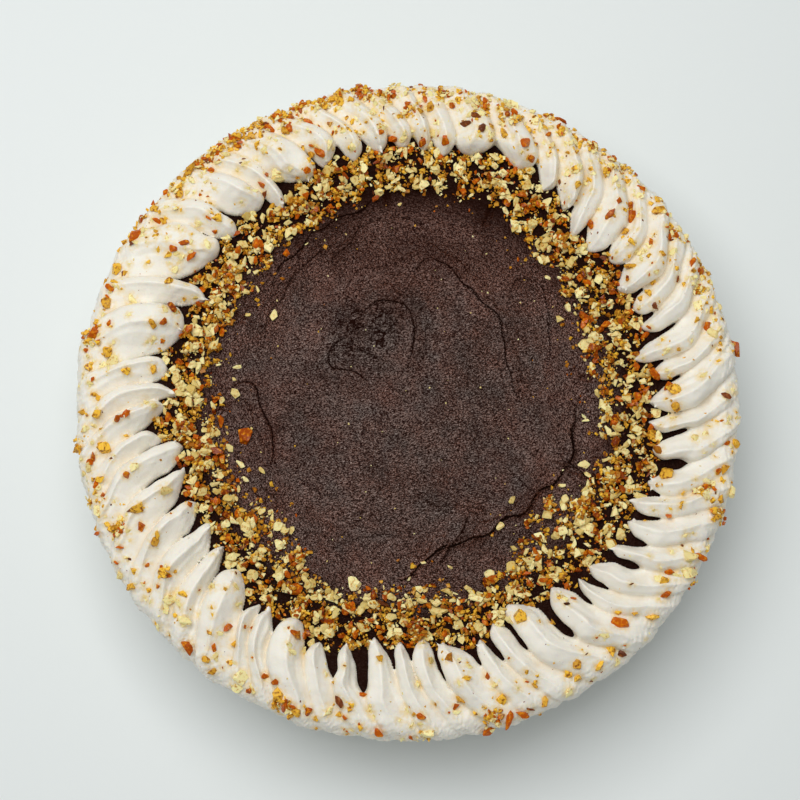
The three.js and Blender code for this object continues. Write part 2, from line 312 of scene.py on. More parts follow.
def ridgeForm(index, bounds):
    share = np.linspace(0, 1, border["stations"]) ** 0.9
    left, right, tipAngle, tipRadius, _, broad = tipOf(index)
    broad = 0.85 * broad**1.3
    startHeight = border["startHeight"] + border["startJitter"] * swing(index + 5.5)
    radius, height, facing = carrier(share, tipRadius, startHeight)
    plump = min(max((right - left) / 6, 0.88), 1.12)
    crest = border["crestHeight"] * plump * (1 + border["crestJitter"] * swing(index + 3.3))
    crest = crest * np.interp(share, *crestAlong.T) * (1 + 0.05 * np.sin(share * 9 + index * 1.7))
    lowLine = lineBetween(index - 1, bounds, radius, share)[1]
    highLine = lineBetween(index, bounds, radius, share)[0]
    # A ridge starts narrow on the side and narrows again to its tip
    closing = np.clip((tipRadius + border["tipLength"] - radius) / border["tipLength"], 0, 1)
    wide = np.interp(share, *widthAlong.T)
    wide *= np.maximum((1 - closing ** (1.15 + 1.8 * broad)) ** (0.85 - 0.3 * broad), 0.1)
    room = (highLine - lowLine) / 2
    middle = (lowLine + highLine) / 2
    middle += (tipAngle - middle) * closing**1.3
    over = easeStep(0.1, 0.42, share)[:, None, None]
    free = easeStep(0.5, 0.8, share)[:, None, None]
    controls = atRim * (1 - over) + sideBySide * over
    controls = controls * (1 - free) + (broadTip * broad + slimTip * (1 - broad)) * free
    section = np.einsum("mc,scx->smx", roundLoop(len(sideBySide), border["sectionPoints"]), controls)
    across, lift = section[..., 0], section[..., 1]
    half = (room * wide)[:, None]
    halfMm = half * degree * radius[:, None]
    alongTip = easeStep(1, 0.88, share)[:, None]
    upper = easeStep(0.2, 0.5, lift) * alongTip

    # A narrow bead along the crest, a second lower line on the back, and fine drag lines beside them
    def lineOf(aside, width):
        return np.exp(-((aside * halfMm / width) ** 2))

    bead = border["bead"] * lineOf(across + 0.32, border["bead"]) * (0.5 + 0.5 * over[..., 0])
    secondAt = (0.1 + 0.45 * chance(index + 91) + 0.12 * np.sin(share * 6 + index))[:, None]
    secondHigh, secondWide = border["secondLine"]
    second = max(0, 2 * chance(index + 92) - 1) * lineOf(across - secondAt, secondWide)
    dipDeep, dipWide = border["dip"]
    dip = max(0, 2 * chance(index + 95) - 0.9) * lineOf(across - secondAt + 0.3, dipWide)
    lines = np.sin(across * halfMm * 2.3 + 9 * chance(index + 81)) + np.sin(across * halfMm * 3.9 + index)
    detail = bead + secondHigh * second - dipDeep * dip + border["dragLines"] * lines
    standing = lift * crest[:, None] + detail * upper
    standing = np.where(lift < 0, -border["sunk"], standing)
    # The crest wanders across the back, and on the near side it lies further over
    nearSide = easeStep(0, 0.8, -math.sin(tipAngle * degree))
    wander = border["wander"] * np.sin(share * (4 + 2 * chance(index + 71)) + 6 * chance(index + 72))
    wander += border["lean"] * nearSide + border["lean"] * swing(index + 73)
    across = across + wander[:, None] * np.clip(lift, 0, 1) ** 1.5 * (1 - across**2)
    # The counter-clockwise edge of a tip is torn
    seeds = index * 97 + np.arange(len(share))[:, None] * 1.7 + np.round(across * 6)
    frayed = easeStep(0.35, 0.9, across) * easeStep(0.62, 0.8, share)[:, None]
    fray = np.sin(seeds * 12.9898) * border["torn"] * frayed
    outwards = radius[:, None] + standing * np.cos(facing)[:, None]
    angle = (middle[:, None] + across * half + fray / (degree * radius[:, None])) * degree
    up = height[:, None] + standing * np.sin(facing)[:, None]
    return np.stack([outwards * np.cos(angle), outwards * np.sin(angle), up], axis=-1)


def nib(form, index, number):  # a small peak where the cream tore off the nozzle
    rows, columns = form.shape[:2]
    seed = index * 5 + number
    at = form[rows - 2 - int(5 * chance(seed + 401)), int(columns * (0.2 + 0.6 * chance(seed + 402)))]
    middle = form[rows - 12].mean(0)
    way = at - middle + np.array([swing(seed + 403), swing(seed + 404), 0.8 * chance(seed + 405)]) * 2.4
    way /= np.linalg.norm(way)
    side = np.cross(way, [0.3, 0.2, 0.93])
    side /= np.linalg.norm(side)
    other = np.cross(way, side)
    length = border["nibLength"][0] + border["nibLength"][1] * chance(seed + 406)
    width = border["nibWidth"][0] + border["nibWidth"][1] * chance(seed + 407)
    turns = np.arange(6) * math.pi / 3
    ring = at - way * 1.2 + width * (np.cos(turns)[:, None] * side + np.sin(turns)[:, None] * other)
    middleRing = at + way * length * 0.4 + 0.55 * (ring - ring.mean(0))
    return np.concatenate([ring, middleRing, [at + way * length]])


def pipeBorder(name, indices, bounds):  # some of the ridges as one body of cream
    points, faces, offset = [], [], 0
    rows, columns = border["stations"], border["sectionPoints"]
    for index in indices:
        form = ridgeForm(index, bounds)
        points.append(form.reshape(-1, 3))
        faces += gridFaces(rows, columns, offset).tolist()
        faces.append(list(range(offset + columns - 1, offset - 1, -1)))
        last = offset + (rows - 1) * columns
        faces.append(list(range(last, last + columns)))
        offset += rows * columns
        slim = tipOf(index)[5] <= border["slimBelow"]
        nibs = int(border["nibs"] * chance(index + 400)) if slim else 0
        for number in range(nibs):
            points.append(nib(form, index, number))
            faces += gridFaces(2, 6, offset).tolist()
            faces.append([offset + k for k in range(5, -1, -1)])
            faces += [[offset + 6 + k, offset + 6 + (k + 1) % 6, offset + 12] for k in range(6)]
            offset += 13
    piece = meshPiece(name, np.concatenate(points), faces)
    remesh = piece.modifiers.new("one body of cream", "REMESH")
    remesh.mode = "VOXEL"
    remesh.voxel_size = border["voxel"] * mm
    smooth = piece.modifiers.new("soft", "SMOOTH")
    smooth.iterations = 1
    smooth.factor = 0.35
    applyModifiers(piece)
    place = readPoints(piece)
    relief = sum(height * softNoise(place, size, seed) for height, size, seed in border["relief"])
    nearRim = easeStep(*border["roughFrom"], np.hypot(place[:, 0], place[:, 1]))
    relief += nearRim * border["rough"] * (softNoise(place, 5, 6) + softNoise(place, 1.7, 7, 8))
    writePoints(piece, place + readNormals(piece) * relief[:, None])
    thin = piece.modifiers.new("fewer faces", "DECIMATE")
    thin.ratio = min(1, border["triangles"] / (2 * len(piece.data.polygons)))
    applyModifiers(piece)
    piece.data.validate()
    return piece


# The coat: cream spread on the side with a palette knife
coat = {
    "segments": 520,
    "footRadius": 127.8,
    "top": glazeTop - 2.4,  # where it goes on under the glaze
    "wallStep": 1.25,
    "knifeWave": 0.55,
    "knifeLine": 0.16,
    "skirt": 1.3,  # cream pressed out at the foot
}


def spreadCoat():
    reach = border["shoulderRadius"]
    wall = np.concatenate([[0, 0.5, 1.1, 1.8], np.arange(2.6, coatTop - reach, coat["wallStep"])])
    turns = np.linspace(0, 90, 9) * degree
    radii = np.concatenate([np.interp(wall, [0, 1.8, 5], [coat["footRadius"], 129.6, coatRadius]),
                            coatRadius - reach + reach * np.cos(turns), [glazeRadius - 0.4, 60]])
    heights = np.concatenate([wall, coatTop - reach + reach * np.sin(turns), [coat["top"], coat["top"]]])
    angle = np.arange(coat["segments"]) * 2 * math.pi / coat["segments"]
    radius = np.repeat(radii[:, None], len(angle), 1)
    height = np.repeat(heights[:, None], len(angle), 1)
    aroundMm = np.stack([np.cos(angle) * coatRadius, np.sin(angle) * coatRadius], axis=1)
    spot = np.concatenate([np.tile(aroundMm, (len(radii), 1)), height.reshape(-1, 1)], axis=1)
    smear = softNoise(spot * [0.35, 0.35, 1], 9, 11).reshape(radius.shape)
    lines = softNoise(spot * [0.05, 0.05, 1], 2.4, 12).reshape(radius.shape)
    onWall = easeStep(1.5, 9, height) * easeStep(coatTop - 2, coatTop - 12, height)
    radius -= onWall * (coat["knifeWave"] * (1 - smear) * 0.6 + coat["knifeLine"] * (1 - lines) * 0.5)
    ragged = 0.5 + 0.5 * softNoise(spot[:, :2], 7, 13).reshape(radius.shape)
    radius += coat["skirt"] * ragged * np.exp(-height / 1.6) * (height < 6)
    x, y = radius * np.cos(angle), radius * np.sin(angle)
    points = np.stack([x, y, height], axis=-1).reshape(-1, 3)
    columns, last = len(angle), len(radii) - 1
    points = np.concatenate([points, [[0, 0, 0], [0, 0, coat["top"]]]])
    faces = gridFaces(len(radii), columns).tolist()
    for k in range(columns):
        following = (k + 1) % columns
        faces.append([len(points) - 2, following, k])
        faces.append([len(points) - 1, last * columns + k, last * columns + following])
    return meshPiece("cream_coat", points, faces)


# The glaze: dark chocolate spread with a palette knife, which left strokes, folds and pits
glaze = {
    "cells": 288,  # across the disc
    "fineMiddle": 0.24,  # how much smaller the cells are in the middle
    "bottom": 57,
    "waveHeight": 0.7,
    "swell": 0.14,
    "grain": 0.045,
    "streak": 0.13,  # fine drag lines left by the knife
    "drawnOut": 22,  # how much longer than wide they look
    "turnedFrom": (30, 70),  # from here outwards they run round the middle
    "levelFrom": (66, 96),  # and from here the chocolate lies level under the nuts
    "strokeJitter": 0.9,
    "foldReach": 5,  # the folds are drawn within this distance of a stroke
    "strokes": [  # a line of points, the crest's height, how far it falls off to its left and right
        ([(-59, 45), (-45, 65), (-25, 78), (-14, 84)], 0.8, 8, 0.9),
        ([(-62, 26), (-56, 36), (-48, 50), (-37, 62), (-25, 71)], 0.5, 5, 0.9),
        ([(-33, 53), (-25, 67), (-18, 76)], 0.5, 5, 0.9),
        ([(-28, 44), (-21, 54), (-10, 58), (0, 57), (8, 50)], 0.35, 6, 0.9),
        ([(-21, 35), (-13, 43), (-5, 43), (2, 37), (2, 24), (-2, 11)], 0.8, 6, 0.8),
        ([(-21, 35), (-31, 21), (-31, 15), (-22, 13), (-15, 8)], 0.7, 0.8, 5),
        ([(-26, 30), (-18, 33), (-10, 31), (-3, 34)], 0.5, 2, 0.8),
        ([(-28, 22), (-20, 22), (-13, 18), (-8, 21)], 0.5, 0.8, 2.4),
        ([(-2, 46), (6, 60), (13, 59), (27, 46), (37, 35), (40, 21), (42, 10), (47, -5)], 0.75, 7, 0.9),
        ([(39, 41), (44, 52), (54, 50), (57, 40), (57, 22), (53, 2)], 0.5, 5, 0.8),
        ([(57, 40), (67, 49), (74, 50)], 0.4, 0.8, 3),
        ([(70, 3), (66, -8), (64, -23), (48, -41), (37, -48), (21, -56), (9, -60), (0, -69), (-7, -71)],
         1.3, 0.9, 8),
        ([(63, -23), (77, -32)], 0.8, 0.8, 3),
        ([(38, -24), (47, -31), (54, -38)], 0.45, 3, 0.8),
        ([(-6, -36), (8, -40), (24, -42), (38, -43)], 0.5, 0.9, 6),
        ([(24, -45), (19, -55), (11, -64)], 0.6, 0.8, 4),
        ([(-38, -52), (-25, -55), (-14, -52), (-3, -54), (5, -58)], 0.4, 4, 0.8),
        ([(-77, 6), (-64, 7), (-59, 0), (-56, -7), (-54, -17), (-57, -28)], 0.8, 0.9, 5),
        ([(-54, -23), (-42, -31), (-33, -36), (-26, -38)], 0.4, 3, 0.8),
        ([(-59, -31), (-51, -41)], 0.5, 0.9, 4),
        ([(-12, 12), (-4, 3), (3, -2)], 0.3, 3, 0.8),
        ([(10, 30), (22, 26), (31, 16)], 0.25, 5, 0.9),
        ([(-36, -4), (-24, -10), (-8, -12), (6, -10)], 0.25, 5, 0.9),
    ],
    "tornAt": (-16, 29),  # here the knife tore the surface
    "tornSize": 15,
    "torn": 0.42,
    "pitWidth": 1.1,
    "pits": [  # angle, radius, length along the radius, depth
        (67, 85, 6, 1.6), (95.5, 85.5, 5, 1.6), (123.5, 79, 2, 1.4), (152.5, 81, 18, 1.0), (181, 75, 4, 1.4),
        (8.7, 72.5, 3, 1.4), (338, 79, 22, 1.3),
    ],
}


def smoothLine(points, steps=14):
    points = np.array(points, float)
    padded = np.concatenate([[2 * points[0] - points[1]], points, [2 * points[-1] - points[-2]]])
    line = []
    for a, b, c, d in zip(padded, padded[1:], padded[2:], padded[3:]):
        for t in np.linspace(0, 1, steps, endpoint=False):
            place = 2 * b + (c - a) * t + (2 * a - 5 * b + 4 * c - d) * t**2
            line.append(0.5 * (place + (3 * b - a - 3 * c + d) * t**3))
    return np.array(line + [points[-1]])


def alongStroke(spots, points, reach):  # the spots near a stroke, how far to its left, and its strength
    jitter = np.stack([softNoise(spots, 15, 51), softNoise(spots, 15, 52)], axis=1)
    spots = spots + glaze["strokeJitter"] * jitter
    line = smoothLine(points)
    near = np.flatnonzero(((spots > line.min(0) - reach) & (spots < line.max(0) + reach)).all(1))
    way = np.gradient(line, axis=0)
    gaps = spots[near, None] - line[None]
    nearest = (gaps**2).sum(-1).argmin(1)
    gap, way = gaps[np.arange(len(gaps)), nearest], way[nearest]
    side = np.sign(way[:, 0] * gap[:, 1] - way[:, 1] * gap[:, 0])
    fade = np.minimum(nearest, len(line) - 1 - nearest) / (len(line) * 0.2)
    return near, np.hypot(*gap.T) * side, np.clip(fade, 0.1, 1)


def glazeHeight(spots):
    x, y = spots.T
    radius = np.hypot(x, y)
    inner = 1 - easeStep(*glaze["levelFrom"], radius)
    waves = np.sin(x * 0.045 + y * 0.03 + 1) + np.sin(y * 0.06 - x * 0.02)
    height = glazeTop + glaze["waveHeight"] * inner * (waves / 2 - 0.2)
    for points, crest, left, right in glaze["strokes"]:
        near, leftwards, fade = alongStroke(spots, points, 4 * max(left, right))
        fall = np.exp(-((np.abs(leftwards) / np.where(leftwards > 0, left, right)) ** 1.3))
        height[near] += crest * fall * fade
    for angle, at, length, depth in glaze["pits"]:
        way = np.array([math.cos(angle * degree), math.sin(angle * degree)])
        along = np.clip(spots @ way, at - length / 2, at + length / 2)
        away = np.hypot(*(spots - along[:, None] * way).T) + 0.5 * softNoise(spots, 4, int(angle))
        height -= depth * np.exp(-((away / glaze["pitWidth"]) ** 2))
    turn = np.arctan2(y, x)
    stretch = glaze["drawnOut"]
    dragged = np.stack([radius, stretch * np.cos(turn), stretch * np.sin(turn)], axis=1)
    outwards = easeStep(*glaze["turnedFrom"], radius)
    straight = np.stack([x * 0.94 + y * 0.34, (y * 0.94 - x * 0.34) * 0.16], axis=1)
    drag = softNoise(dragged, 3.6, 23) * outwards + softNoise(straight, 3.2, 24) * (1 - outwards)
    height += glaze["streak"] * drag
    torn = np.exp(-((np.hypot(*(spots - glaze["tornAt"]).T) / glaze["tornSize"]) ** 4))
    cracks = np.abs(softNoise(spots, 7, 26, 8)) + 0.5 * np.abs(softNoise(spots, 3.4, 27, 8))
    height -= glaze["torn"] * torn * np.clip(1 - cracks * 1.6, 0, 1) * 1.8
    swell = glaze["swell"] * inner * softNoise(spots, 13, 21)
    height += swell + glaze["grain"] * softNoise(spots, 2.2, 22, 8)
    return height


def foldDistance(spots):  # to the nearest stroke, above 0 on its steep side, and how marked it is there
    reach = glaze["foldReach"]
    away = np.full(len(spots), float(reach))
    marked = np.zeros(len(spots))
    for points, crest, left, right in glaze["strokes"]:
        near, leftwards, fade = alongStroke(spots, points, reach)
        steepwards = leftwards if left < right else -leftwards
        closer = np.abs(steepwards) < np.abs(away[near])
        away[near[closer]] = steepwards[closer]
        marked[near[closer]] = (min(crest, 1) ** 1.6 * fade)[closer]
    return np.clip(away, -reach, reach), marked


def spreadGlaze():
    count = glaze["cells"]
    u, v = np.meshgrid(np.linspace(-1, 1, count + 1), np.linspace(-1, 1, count + 1), indexing="ij")
    # A square grid bent into a disc, so that its cells stay even
    wider = np.abs(u) > np.abs(v)
    safeU, safeV = np.where(u == 0, 1e-9, u), np.where(v == 0, 1e-9, v)
    across = np.where(wider, u, v)
    radius = across * (1 - glaze["fineMiddle"] * (1 - across**2)) * (glazeRadius - 0.3)
    turn = np.where(wider, math.pi / 4 * v / safeU, math.pi / 2 - math.pi / 4 * u / safeV)
    spots = np.stack([radius * np.cos(turn), radius * np.sin(turn)], axis=-1).reshape(-1, 2)
    points = np.concatenate([spots, glazeHeight(spots)[:, None]], axis=1)
    index = np.arange((count + 1) ** 2).reshape(count + 1, count + 1)
    faces = np.stack([index[:-1, :-1], index[1:, :-1], index[1:, 1:], index[:-1, 1:]], axis=-1)
    faces = faces.reshape(-1, 4).tolist()
    rim = np.concatenate([index[:-1, 0], index[-1, :-1], index[:0:-1, -1], index[0, :0:-1]])
    below = points[rim] * [1, 1, 0] + [0, 0, glaze["bottom"]]
    start = len(points)
    points = np.concatenate([points, below, [[0, 0, glaze["bottom"]]]])
    for k in range(len(rim)):
        following = (k + 1) % len(rim)
        faces.append([rim[following], rim[k], start + k, start + following])
        faces.append([start + following, start + k, len(points) - 1])
    piece = meshPiece("chocolate_spread", points, faces)
    fold, marked = foldDistance(points[:, :2])
    paint(piece, "fold", fold)
    paint(piece, "marked", marked)
    return piece


# Chopped roasted nuts: broken kernels, crumbs of praline, caramel and skin
chips = {
    "shapes": 18,  # of each kind in each of three details
    "cutDepth": (0.27, 0.52),  # how far from the middle a block is cut, as a share of its size
    "cutJitter": 0.3,
    "longest": 0.62,
    "welded": (0.12, 0.04, 0.03),  # corners closer than this become one: crumbs, chips, large pieces
    "bevel": 0.035,
    "smallBelow": 1.1,  # crumbs under this size are simple
    "largeFrom": 3.4,  # chips from this size have softened edges and rough faces
    "innerEdge": [  # where the band begins: angle, radius
        (5, 75), (16, 72), (30, 78), (45, 80), (56, 83), (66, 90), (80, 87), (95, 88), (105, 85), (120, 82),
        (142, 80), (157, 78), (172, 79), (185, 77), (195, 74), (205, 75), (222, 69), (240, 78), (252, 80),
        (265, 74), (276, 73), (291, 79), (317, 66), (333, 76), (345, 79), (355, 76),
    ],
    "creamFrom": 101,  # noticeable chips further out than this lie on the cream
    # chips further out than this are painted lighter, as if lit by the cream round them
    "litByCreamFrom": 103,
    "heapLimit": 4.0,
    "heapCell": 0.5,
    "spread": 0.34,  # how much of its size a chip covers to each side
    "thickness": 0.3,
    "tilt": 0.36,
    "clumps": 7,  # the size of clumps and bare places in the band
    "strayed": 0.013,  # the share that fell inside the band
    "middleKinds": {"nut_kernels": 0.8, "nut_golden": 0.2},
    "middleCrumbs": 80,
    "middleRadius": 84,
    "middleSizes": (0.4, 0.9),
    "clusterKinds": {"nut_golden": 0.45, "nut_kernels": 0.33, "nut_caramel": 0.22},
    "clusterSizes": (0.8, 2.7),
    "heavySide": 85,  # round this angle most nuts lie on the cream
    "onRim": (114, 130, 134),  # the radii of those along the rim: from, most, to
    "rimShare": 0.66,
    "tipShare": 0.15,
    "groups": 0.8,  # how many more lie beside each, on average
    "groupSpread": 2.2,
    "fringe": [(95, 140, 170), (58, 95, 110), (12, 58, 80), (140, 215, 60)],  # on the rim: from, to, count
    "fringeRadii": (125, 132, 134.5),
    "fringeKinds": {"nut_kernels": 0.55, "nut_golden": 0.31, "nut_caramel": 0.14},
    "fringeSizes": (0.9, 3.4),
    "specks": 160,  # the finest crumbs on the cream
    "speckKinds": {"nut_skins": 0.4, "nut_golden": 0.6},
    "speckSizes": (0.3, 0.55),
    "sideCrumbs": 90,
    "sideKinds": ("nut_golden", "nut_kernels", "nut_skins"),
    "sideLargest": 2.6,
    "stainFrom": 1.2,  # chips from this size colour the cream round them
    "stainReach": 1.8,  # beyond their edge
    "stain": 0.85,
}

# Each kind: its colour slot, how many lie in the band on the glaze and on the cream, their sizes from
# small to large with a power that makes most of them small, and their shape
chipKinds = {
    "nut_kernels": {
        "slot": "nut_kernel", "band": 2800, "cream": 520, "sizes": (0.7, 4.7), "power": 2.5,
        "cuts": 9, "flat": (0.2, 0.45), "narrow": (0.4, 0.9), "pressed": -0.02,
    },
    "nut_golden": {
        "slot": "nut_caramel", "band": 5800, "cream": 380, "sizes": (0.45, 2.3), "power": 1.7,
        "cuts": 8, "flat": (0.5, 0.9), "narrow": (0.55, 1.0), "pressed": 0.02,
    },
    "nut_caramel": {
        "slot": "nut_caramel", "band": 1250, "cream": 90, "sizes": (0.8, 4.2), "power": 2.6,
        "cuts": 10, "flat": (0.35, 0.7), "narrow": (0.45, 0.9), "pressed": 0.06,
    },
    "nut_skins": {
        "slot": "nut_caramel", "band": 480, "cream": 80, "sizes": (0.4, 2.2), "power": 2.6,
        "cuts": 7, "flat": (0.15, 0.4), "narrow": (0.35, 0.8), "pressed": 0.02,
    },
}

# The pieces that stand out: angle, radius, size
noticeable = {
    "nut_kernels": [
        (19, 76, 5), (12, 76, 3.2), (42.5, 77, 2.6), (31.6, 76, 3), (355.4, 83, 6.4), (13, 125.5, 5),
        (171.7, 119.5, 4.4), (160.8, 90.7, 5.4), (157.6, 84.6, 4.4), (152.4, 80.8, 3.6),
        (141.5, 92, 4.6), (131.5, 85.4, 5), (224.7, 123.5, 5), (200.4, 102.6, 4.8), (220.2, 70.9, 3.6),
        (232.3, 78.5, 3.6), (278.2, 83.8, 6.6), (253.3, 75, 5.4), (295, 76.4, 4.6), (265.4, 85.4, 4),
        (328.4, 128.6, 5), (331, 128, 4.4), (325, 87.6, 6), (338.6, 94.5, 6), (338.2, 100, 4.6),
        (308.8, 81.9, 4.6), (349.5, 89.2, 4.6), (11.2, 105.6, 3.2), (57.5, 127.5, 5), (70.8, 132, 4),
        (119.5, 107, 4), (159.2, 119, 3.6), (191.4, 130, 4), (199.5, 130.5, 5), (219.8, 122.4, 4.6),
        (188.4, 99.3, 2.6), (239, 127.2, 4.6), (255.7, 126.3, 4), (245.4, 109.4, 3), (247.5, 100, 4.6),
        (230, 98, 3.6), (273.2, 131, 4.6), (274.8, 103, 3), (298.8, 131, 3.6), (328.9, 131.6, 4),
        (271.8, 112, 2.6), (345, 102, 4.4), (319.6, 96.5, 3), (114, 94, 3.4),
    ],
    "nut_golden": [
        (11, 128, 2), (17.3, 128, 2.4), (37.8, 128.4, 4), (36, 111, 3), (2.6, 107, 4.6),
        (31.6, 106, 3.4), (24.6, 107, 2.6), (26.7, 111, 2), (38.4, 113, 2.4), (72, 124.3, 3),
        (70.4, 117.8, 3), (85.5, 123, 3.4), (80.5, 126.8, 2.6), (54.5, 117.6, 3), (52.2, 112, 2.6),
        (87.6, 120, 2.6), (66.5, 123, 3), (97, 128, 2.4), (102.3, 130.5, 5), (106, 131, 3.4),
        (105.6, 127.5, 3.4), (113.8, 123, 3.6), (118.6, 125, 3), (120.3, 126.6, 3), (133, 130.6, 4),
        (110.8, 110.6, 2.4), (123.8, 99, 4), (101, 118.6, 2), (136.9, 126.4, 3), (142.2, 130.6, 3.6),
        (143, 123.8, 3), (155, 130, 4.6), (161.5, 128, 4.4), (170.3, 122.6, 3.4), (173.8, 113, 3),
        (173.6, 129, 3), (178.4, 126, 2.4), (148, 113.6, 2.4), (153, 107.8, 3.4), (163, 107, 3),
        (135.8, 107.6, 2.6), (181.4, 131, 3), (182.2, 124, 3.4), (188.4, 122.6, 4.4),
        (194.3, 126.6, 3.4), (201.8, 115, 4.4), (212, 127.6, 2.4), (214, 131.5, 2.6), (209.3, 115, 3.6),
        (208.3, 112.4, 2.4), (215.3, 118, 4), (221.2, 117, 2.4), (216.2, 127, 2), (232.3, 129.4, 3),
        (234.2, 131.6, 2.6), (236, 124.8, 2.2), (234.8, 117.8, 2.6), (246.4, 126.5, 4.6),
        (250.4, 129.6, 3.6), (253.9, 130, 2), (261.8, 130, 2.4), (245, 103, 3.4), (263.9, 102.6, 2.2),
        (280, 119.6, 3), (287.3, 122.8, 4), (294.3, 129.6, 3), (281.6, 112.2, 2.2), (278.9, 102.9, 2.6),
        (297.3, 96, 5), (300.2, 125, 3), (302.3, 123.6, 3.4), (301.3, 127.8, 2.4), (305.6, 128.6, 3.4),
        (308.8, 126.4, 4.4), (302.8, 104.6, 2.4), (318.4, 128.6, 3.6), (324.6, 123.6, 2.6),
        (342.6, 130, 2.4), (342, 127, 2.6), (346, 129, 2), (348.2, 129, 2.6), (344, 107, 4.4),
        (349, 102, 2.6), (353.2, 104.6, 3), (352.9, 98.5, 5), (358.8, 107, 4), (316.6, 122.6, 2),
        (325.6, 98, 4.4), (172.4, 103, 3),
    ],
    "nut_caramel": [
        (17, 78, 5.4), (1.5, 85, 5), (26.8, 129, 4), (43, 130, 2.8), (14.5, 124.5, 4.4), (3.5, 105, 4),
        (42.9, 111.7, 4.4), (44.9, 105, 3.6), (65.8, 115.3, 4.4), (81.8, 109, 4), (93, 110, 4.4),
        (109.2, 109.6, 3.6), (148.3, 130, 4.8), (158.6, 129, 4.6), (158.2, 102.5, 5.4),
        (191, 84.6, 6.6), (194.4, 78.5, 6.6), (191.3, 67, 8), (184.9, 75.4, 4.6), (201.5, 93, 4),
        (238.5, 87.6, 7), (228.3, 129.6, 5), (287.2, 131.6, 5.6), (290, 131.2, 5), (293.4, 78, 4.4),
        (249.4, 92.2, 5), (313.6, 121, 5.6), (341.7, 90.7, 5.4), (264.8, 131, 4.6), (32.3, 129, 3.4),
        (40.2, 118.6, 4), (42, 121.8, 3), (10, 97, 5.6), (6.8, 100.5, 4.4), (29.6, 102, 2),
        (29.3, 95, 4), (62.8, 124.6, 2.6), (70, 127.6, 3), (75.8, 126.4, 3), (82.3, 129, 3),
        (63.5, 112, 3.6), (62.4, 106.5, 5), (86.6, 108, 4.4), (87.7, 123, 2.4), (81.5, 124.6, 3),
        (64, 118.6, 2), (98.8, 130.6, 2.4), (112.2, 127.6, 2.4), (109.3, 124, 2.8), (114.4, 130, 4),
        (116.3, 127, 4), (123.2, 130.6, 3.8), (130.8, 130.4, 3.6), (121.6, 109.8, 2.4),
        (123.4, 107.4, 2.6), (95.7, 111.5, 2), (167.6, 128.6, 5.4), (165.3, 124, 2),
        (144.6, 110.6, 3.6), (146.6, 113, 3.4), (145.6, 106, 3.6), (162, 103, 2.4), (137, 110.4, 2),
        (138, 105.6, 1.8), (189.8, 127.4, 2.6), (197, 126.8, 2), (194.8, 115.3, 3.4), (207, 128, 2.4),
        (205.2, 96, 2.2), (241.5, 129.6, 3), (232, 124, 3), (231.6, 114.6, 3), (245, 122.8, 3),
        (248.4, 129.6, 3.6), (252.2, 128.3, 3.2), (258.8, 127.2, 2.6), (272.5, 124.5, 3.6),
        (278.6, 122.2, 2), (286, 113.4, 2.2), (283.8, 102.5, 5), (323.2, 127.2, 4.2), (326.8, 123.4, 3),
        (331.9, 131, 4), (343.9, 126.4, 2), (347.4, 126.4, 2), (309.6, 102, 1.8), (113.5, 104, 3.4),
        (98.6, 106, 4.4), (335, 88, 5),
    ],
    "nut_skins": [
        (78.4, 117.4, 4), (75.1, 116, 3.4), (76.8, 120.6, 3.2), (263, 80.8, 5), (1.2, 127.5, 3.6),
        (21.7, 107, 3.4), (37.2, 100, 3.4), (25, 120, 2), (117, 130, 3), (129, 129.4, 3),
        (124, 104.2, 2.6), (149.8, 129.2, 2.6), (257.3, 121.5, 3.6), (310, 130.4, 3), (307.6, 102, 2.2),
        (343.8, 100.6, 3), (202, 117.5, 2.6), (291.5, 130.5, 2.4),
    ],
}

# Where crumbs cake together with caramel: angle, radius, spread, how many
crumbClusters = [
    (21.6, 126.5, 1.9, 16), (102.5, 131, 1.6, 14), (61, 128.6, 1.8, 14), (168.4, 130, 2.4, 22),
    (149, 99.8, 1.9, 14), (144.6, 90.7, 3.6, 60), (203.8, 125.4, 2.8, 34), (249.4, 129.4, 2.0, 18),
    (246.8, 129.8, 1.8, 14), (284.7, 128.8, 2.8, 34), (343, 121.6, 2.2, 20), (340.2, 130, 1.8, 14),
    (324.6, 69.3, 2.4, 24), (328.9, 81.5, 3.0, 46), (234.6, 73.9, 2.0, 20), (197, 86.9, 2.2, 22),
    (114, 130, 2.2, 24), (90, 121, 2.6, 20), (70, 124, 2.4, 18), (215.5, 117.8, 1.6, 10),
    (99, 105, 2.2, 16), (273, 92, 3.4, 50), (340, 88, 3.0, 40), (187, 90, 3.0, 40), (119, 93, 3.0, 40),
    (47, 92, 3.2, 44), (106, 129.5, 2.2, 20), (110, 131, 1.8, 18), (118, 130.5, 2.4, 26),
    (122.5, 129.5, 2.2, 20), (127, 130.5, 2.2, 22), (131, 130.5, 1.8, 16), (98, 130.5, 2.2, 18),
    (94, 128, 2.4, 18), (84, 130, 2.4, 18), (77, 127, 2.6, 18), (49, 127, 2.2, 16),
    (55, 130.5, 1.8, 12), (33, 128, 1.8, 12), (137, 128, 1.6, 10), (64, 106, 2.2, 14),
    (111, 101, 2.0, 12),
]


def hullSides(points):  # the corners of each side of the hull
    work = bmesh.new()
    for point in points:
        work.verts.new(point)
    work.verts.index_update()
    bmesh.ops.convex_hull(work, input=work.verts)
    sides = [[v.index for v in face.verts] for face in work.faces]
    work.free()
    return sides


def softenBlock(work, rng):  # bevelled edges and slightly rough faces
    bmesh.ops.dissolve_limit(work, angle_limit=0.12, verts=work.verts, edges=work.edges)
    bmesh.ops.bevel(work, geom=work.edges, offset=chips["bevel"], segments=1, affect="EDGES",
                    clamp_overlap=True)
    bmesh.ops.triangulate(work, faces=work.faces)
    longEdges = [edge for edge in work.edges if edge.calc_length() > 0.2]
    bmesh.ops.subdivide_edges(work, edges=longEdges, cuts=1)
    for vert in work.verts:
        vert.co += Vector(rng.normal(size=3) * 0.009)


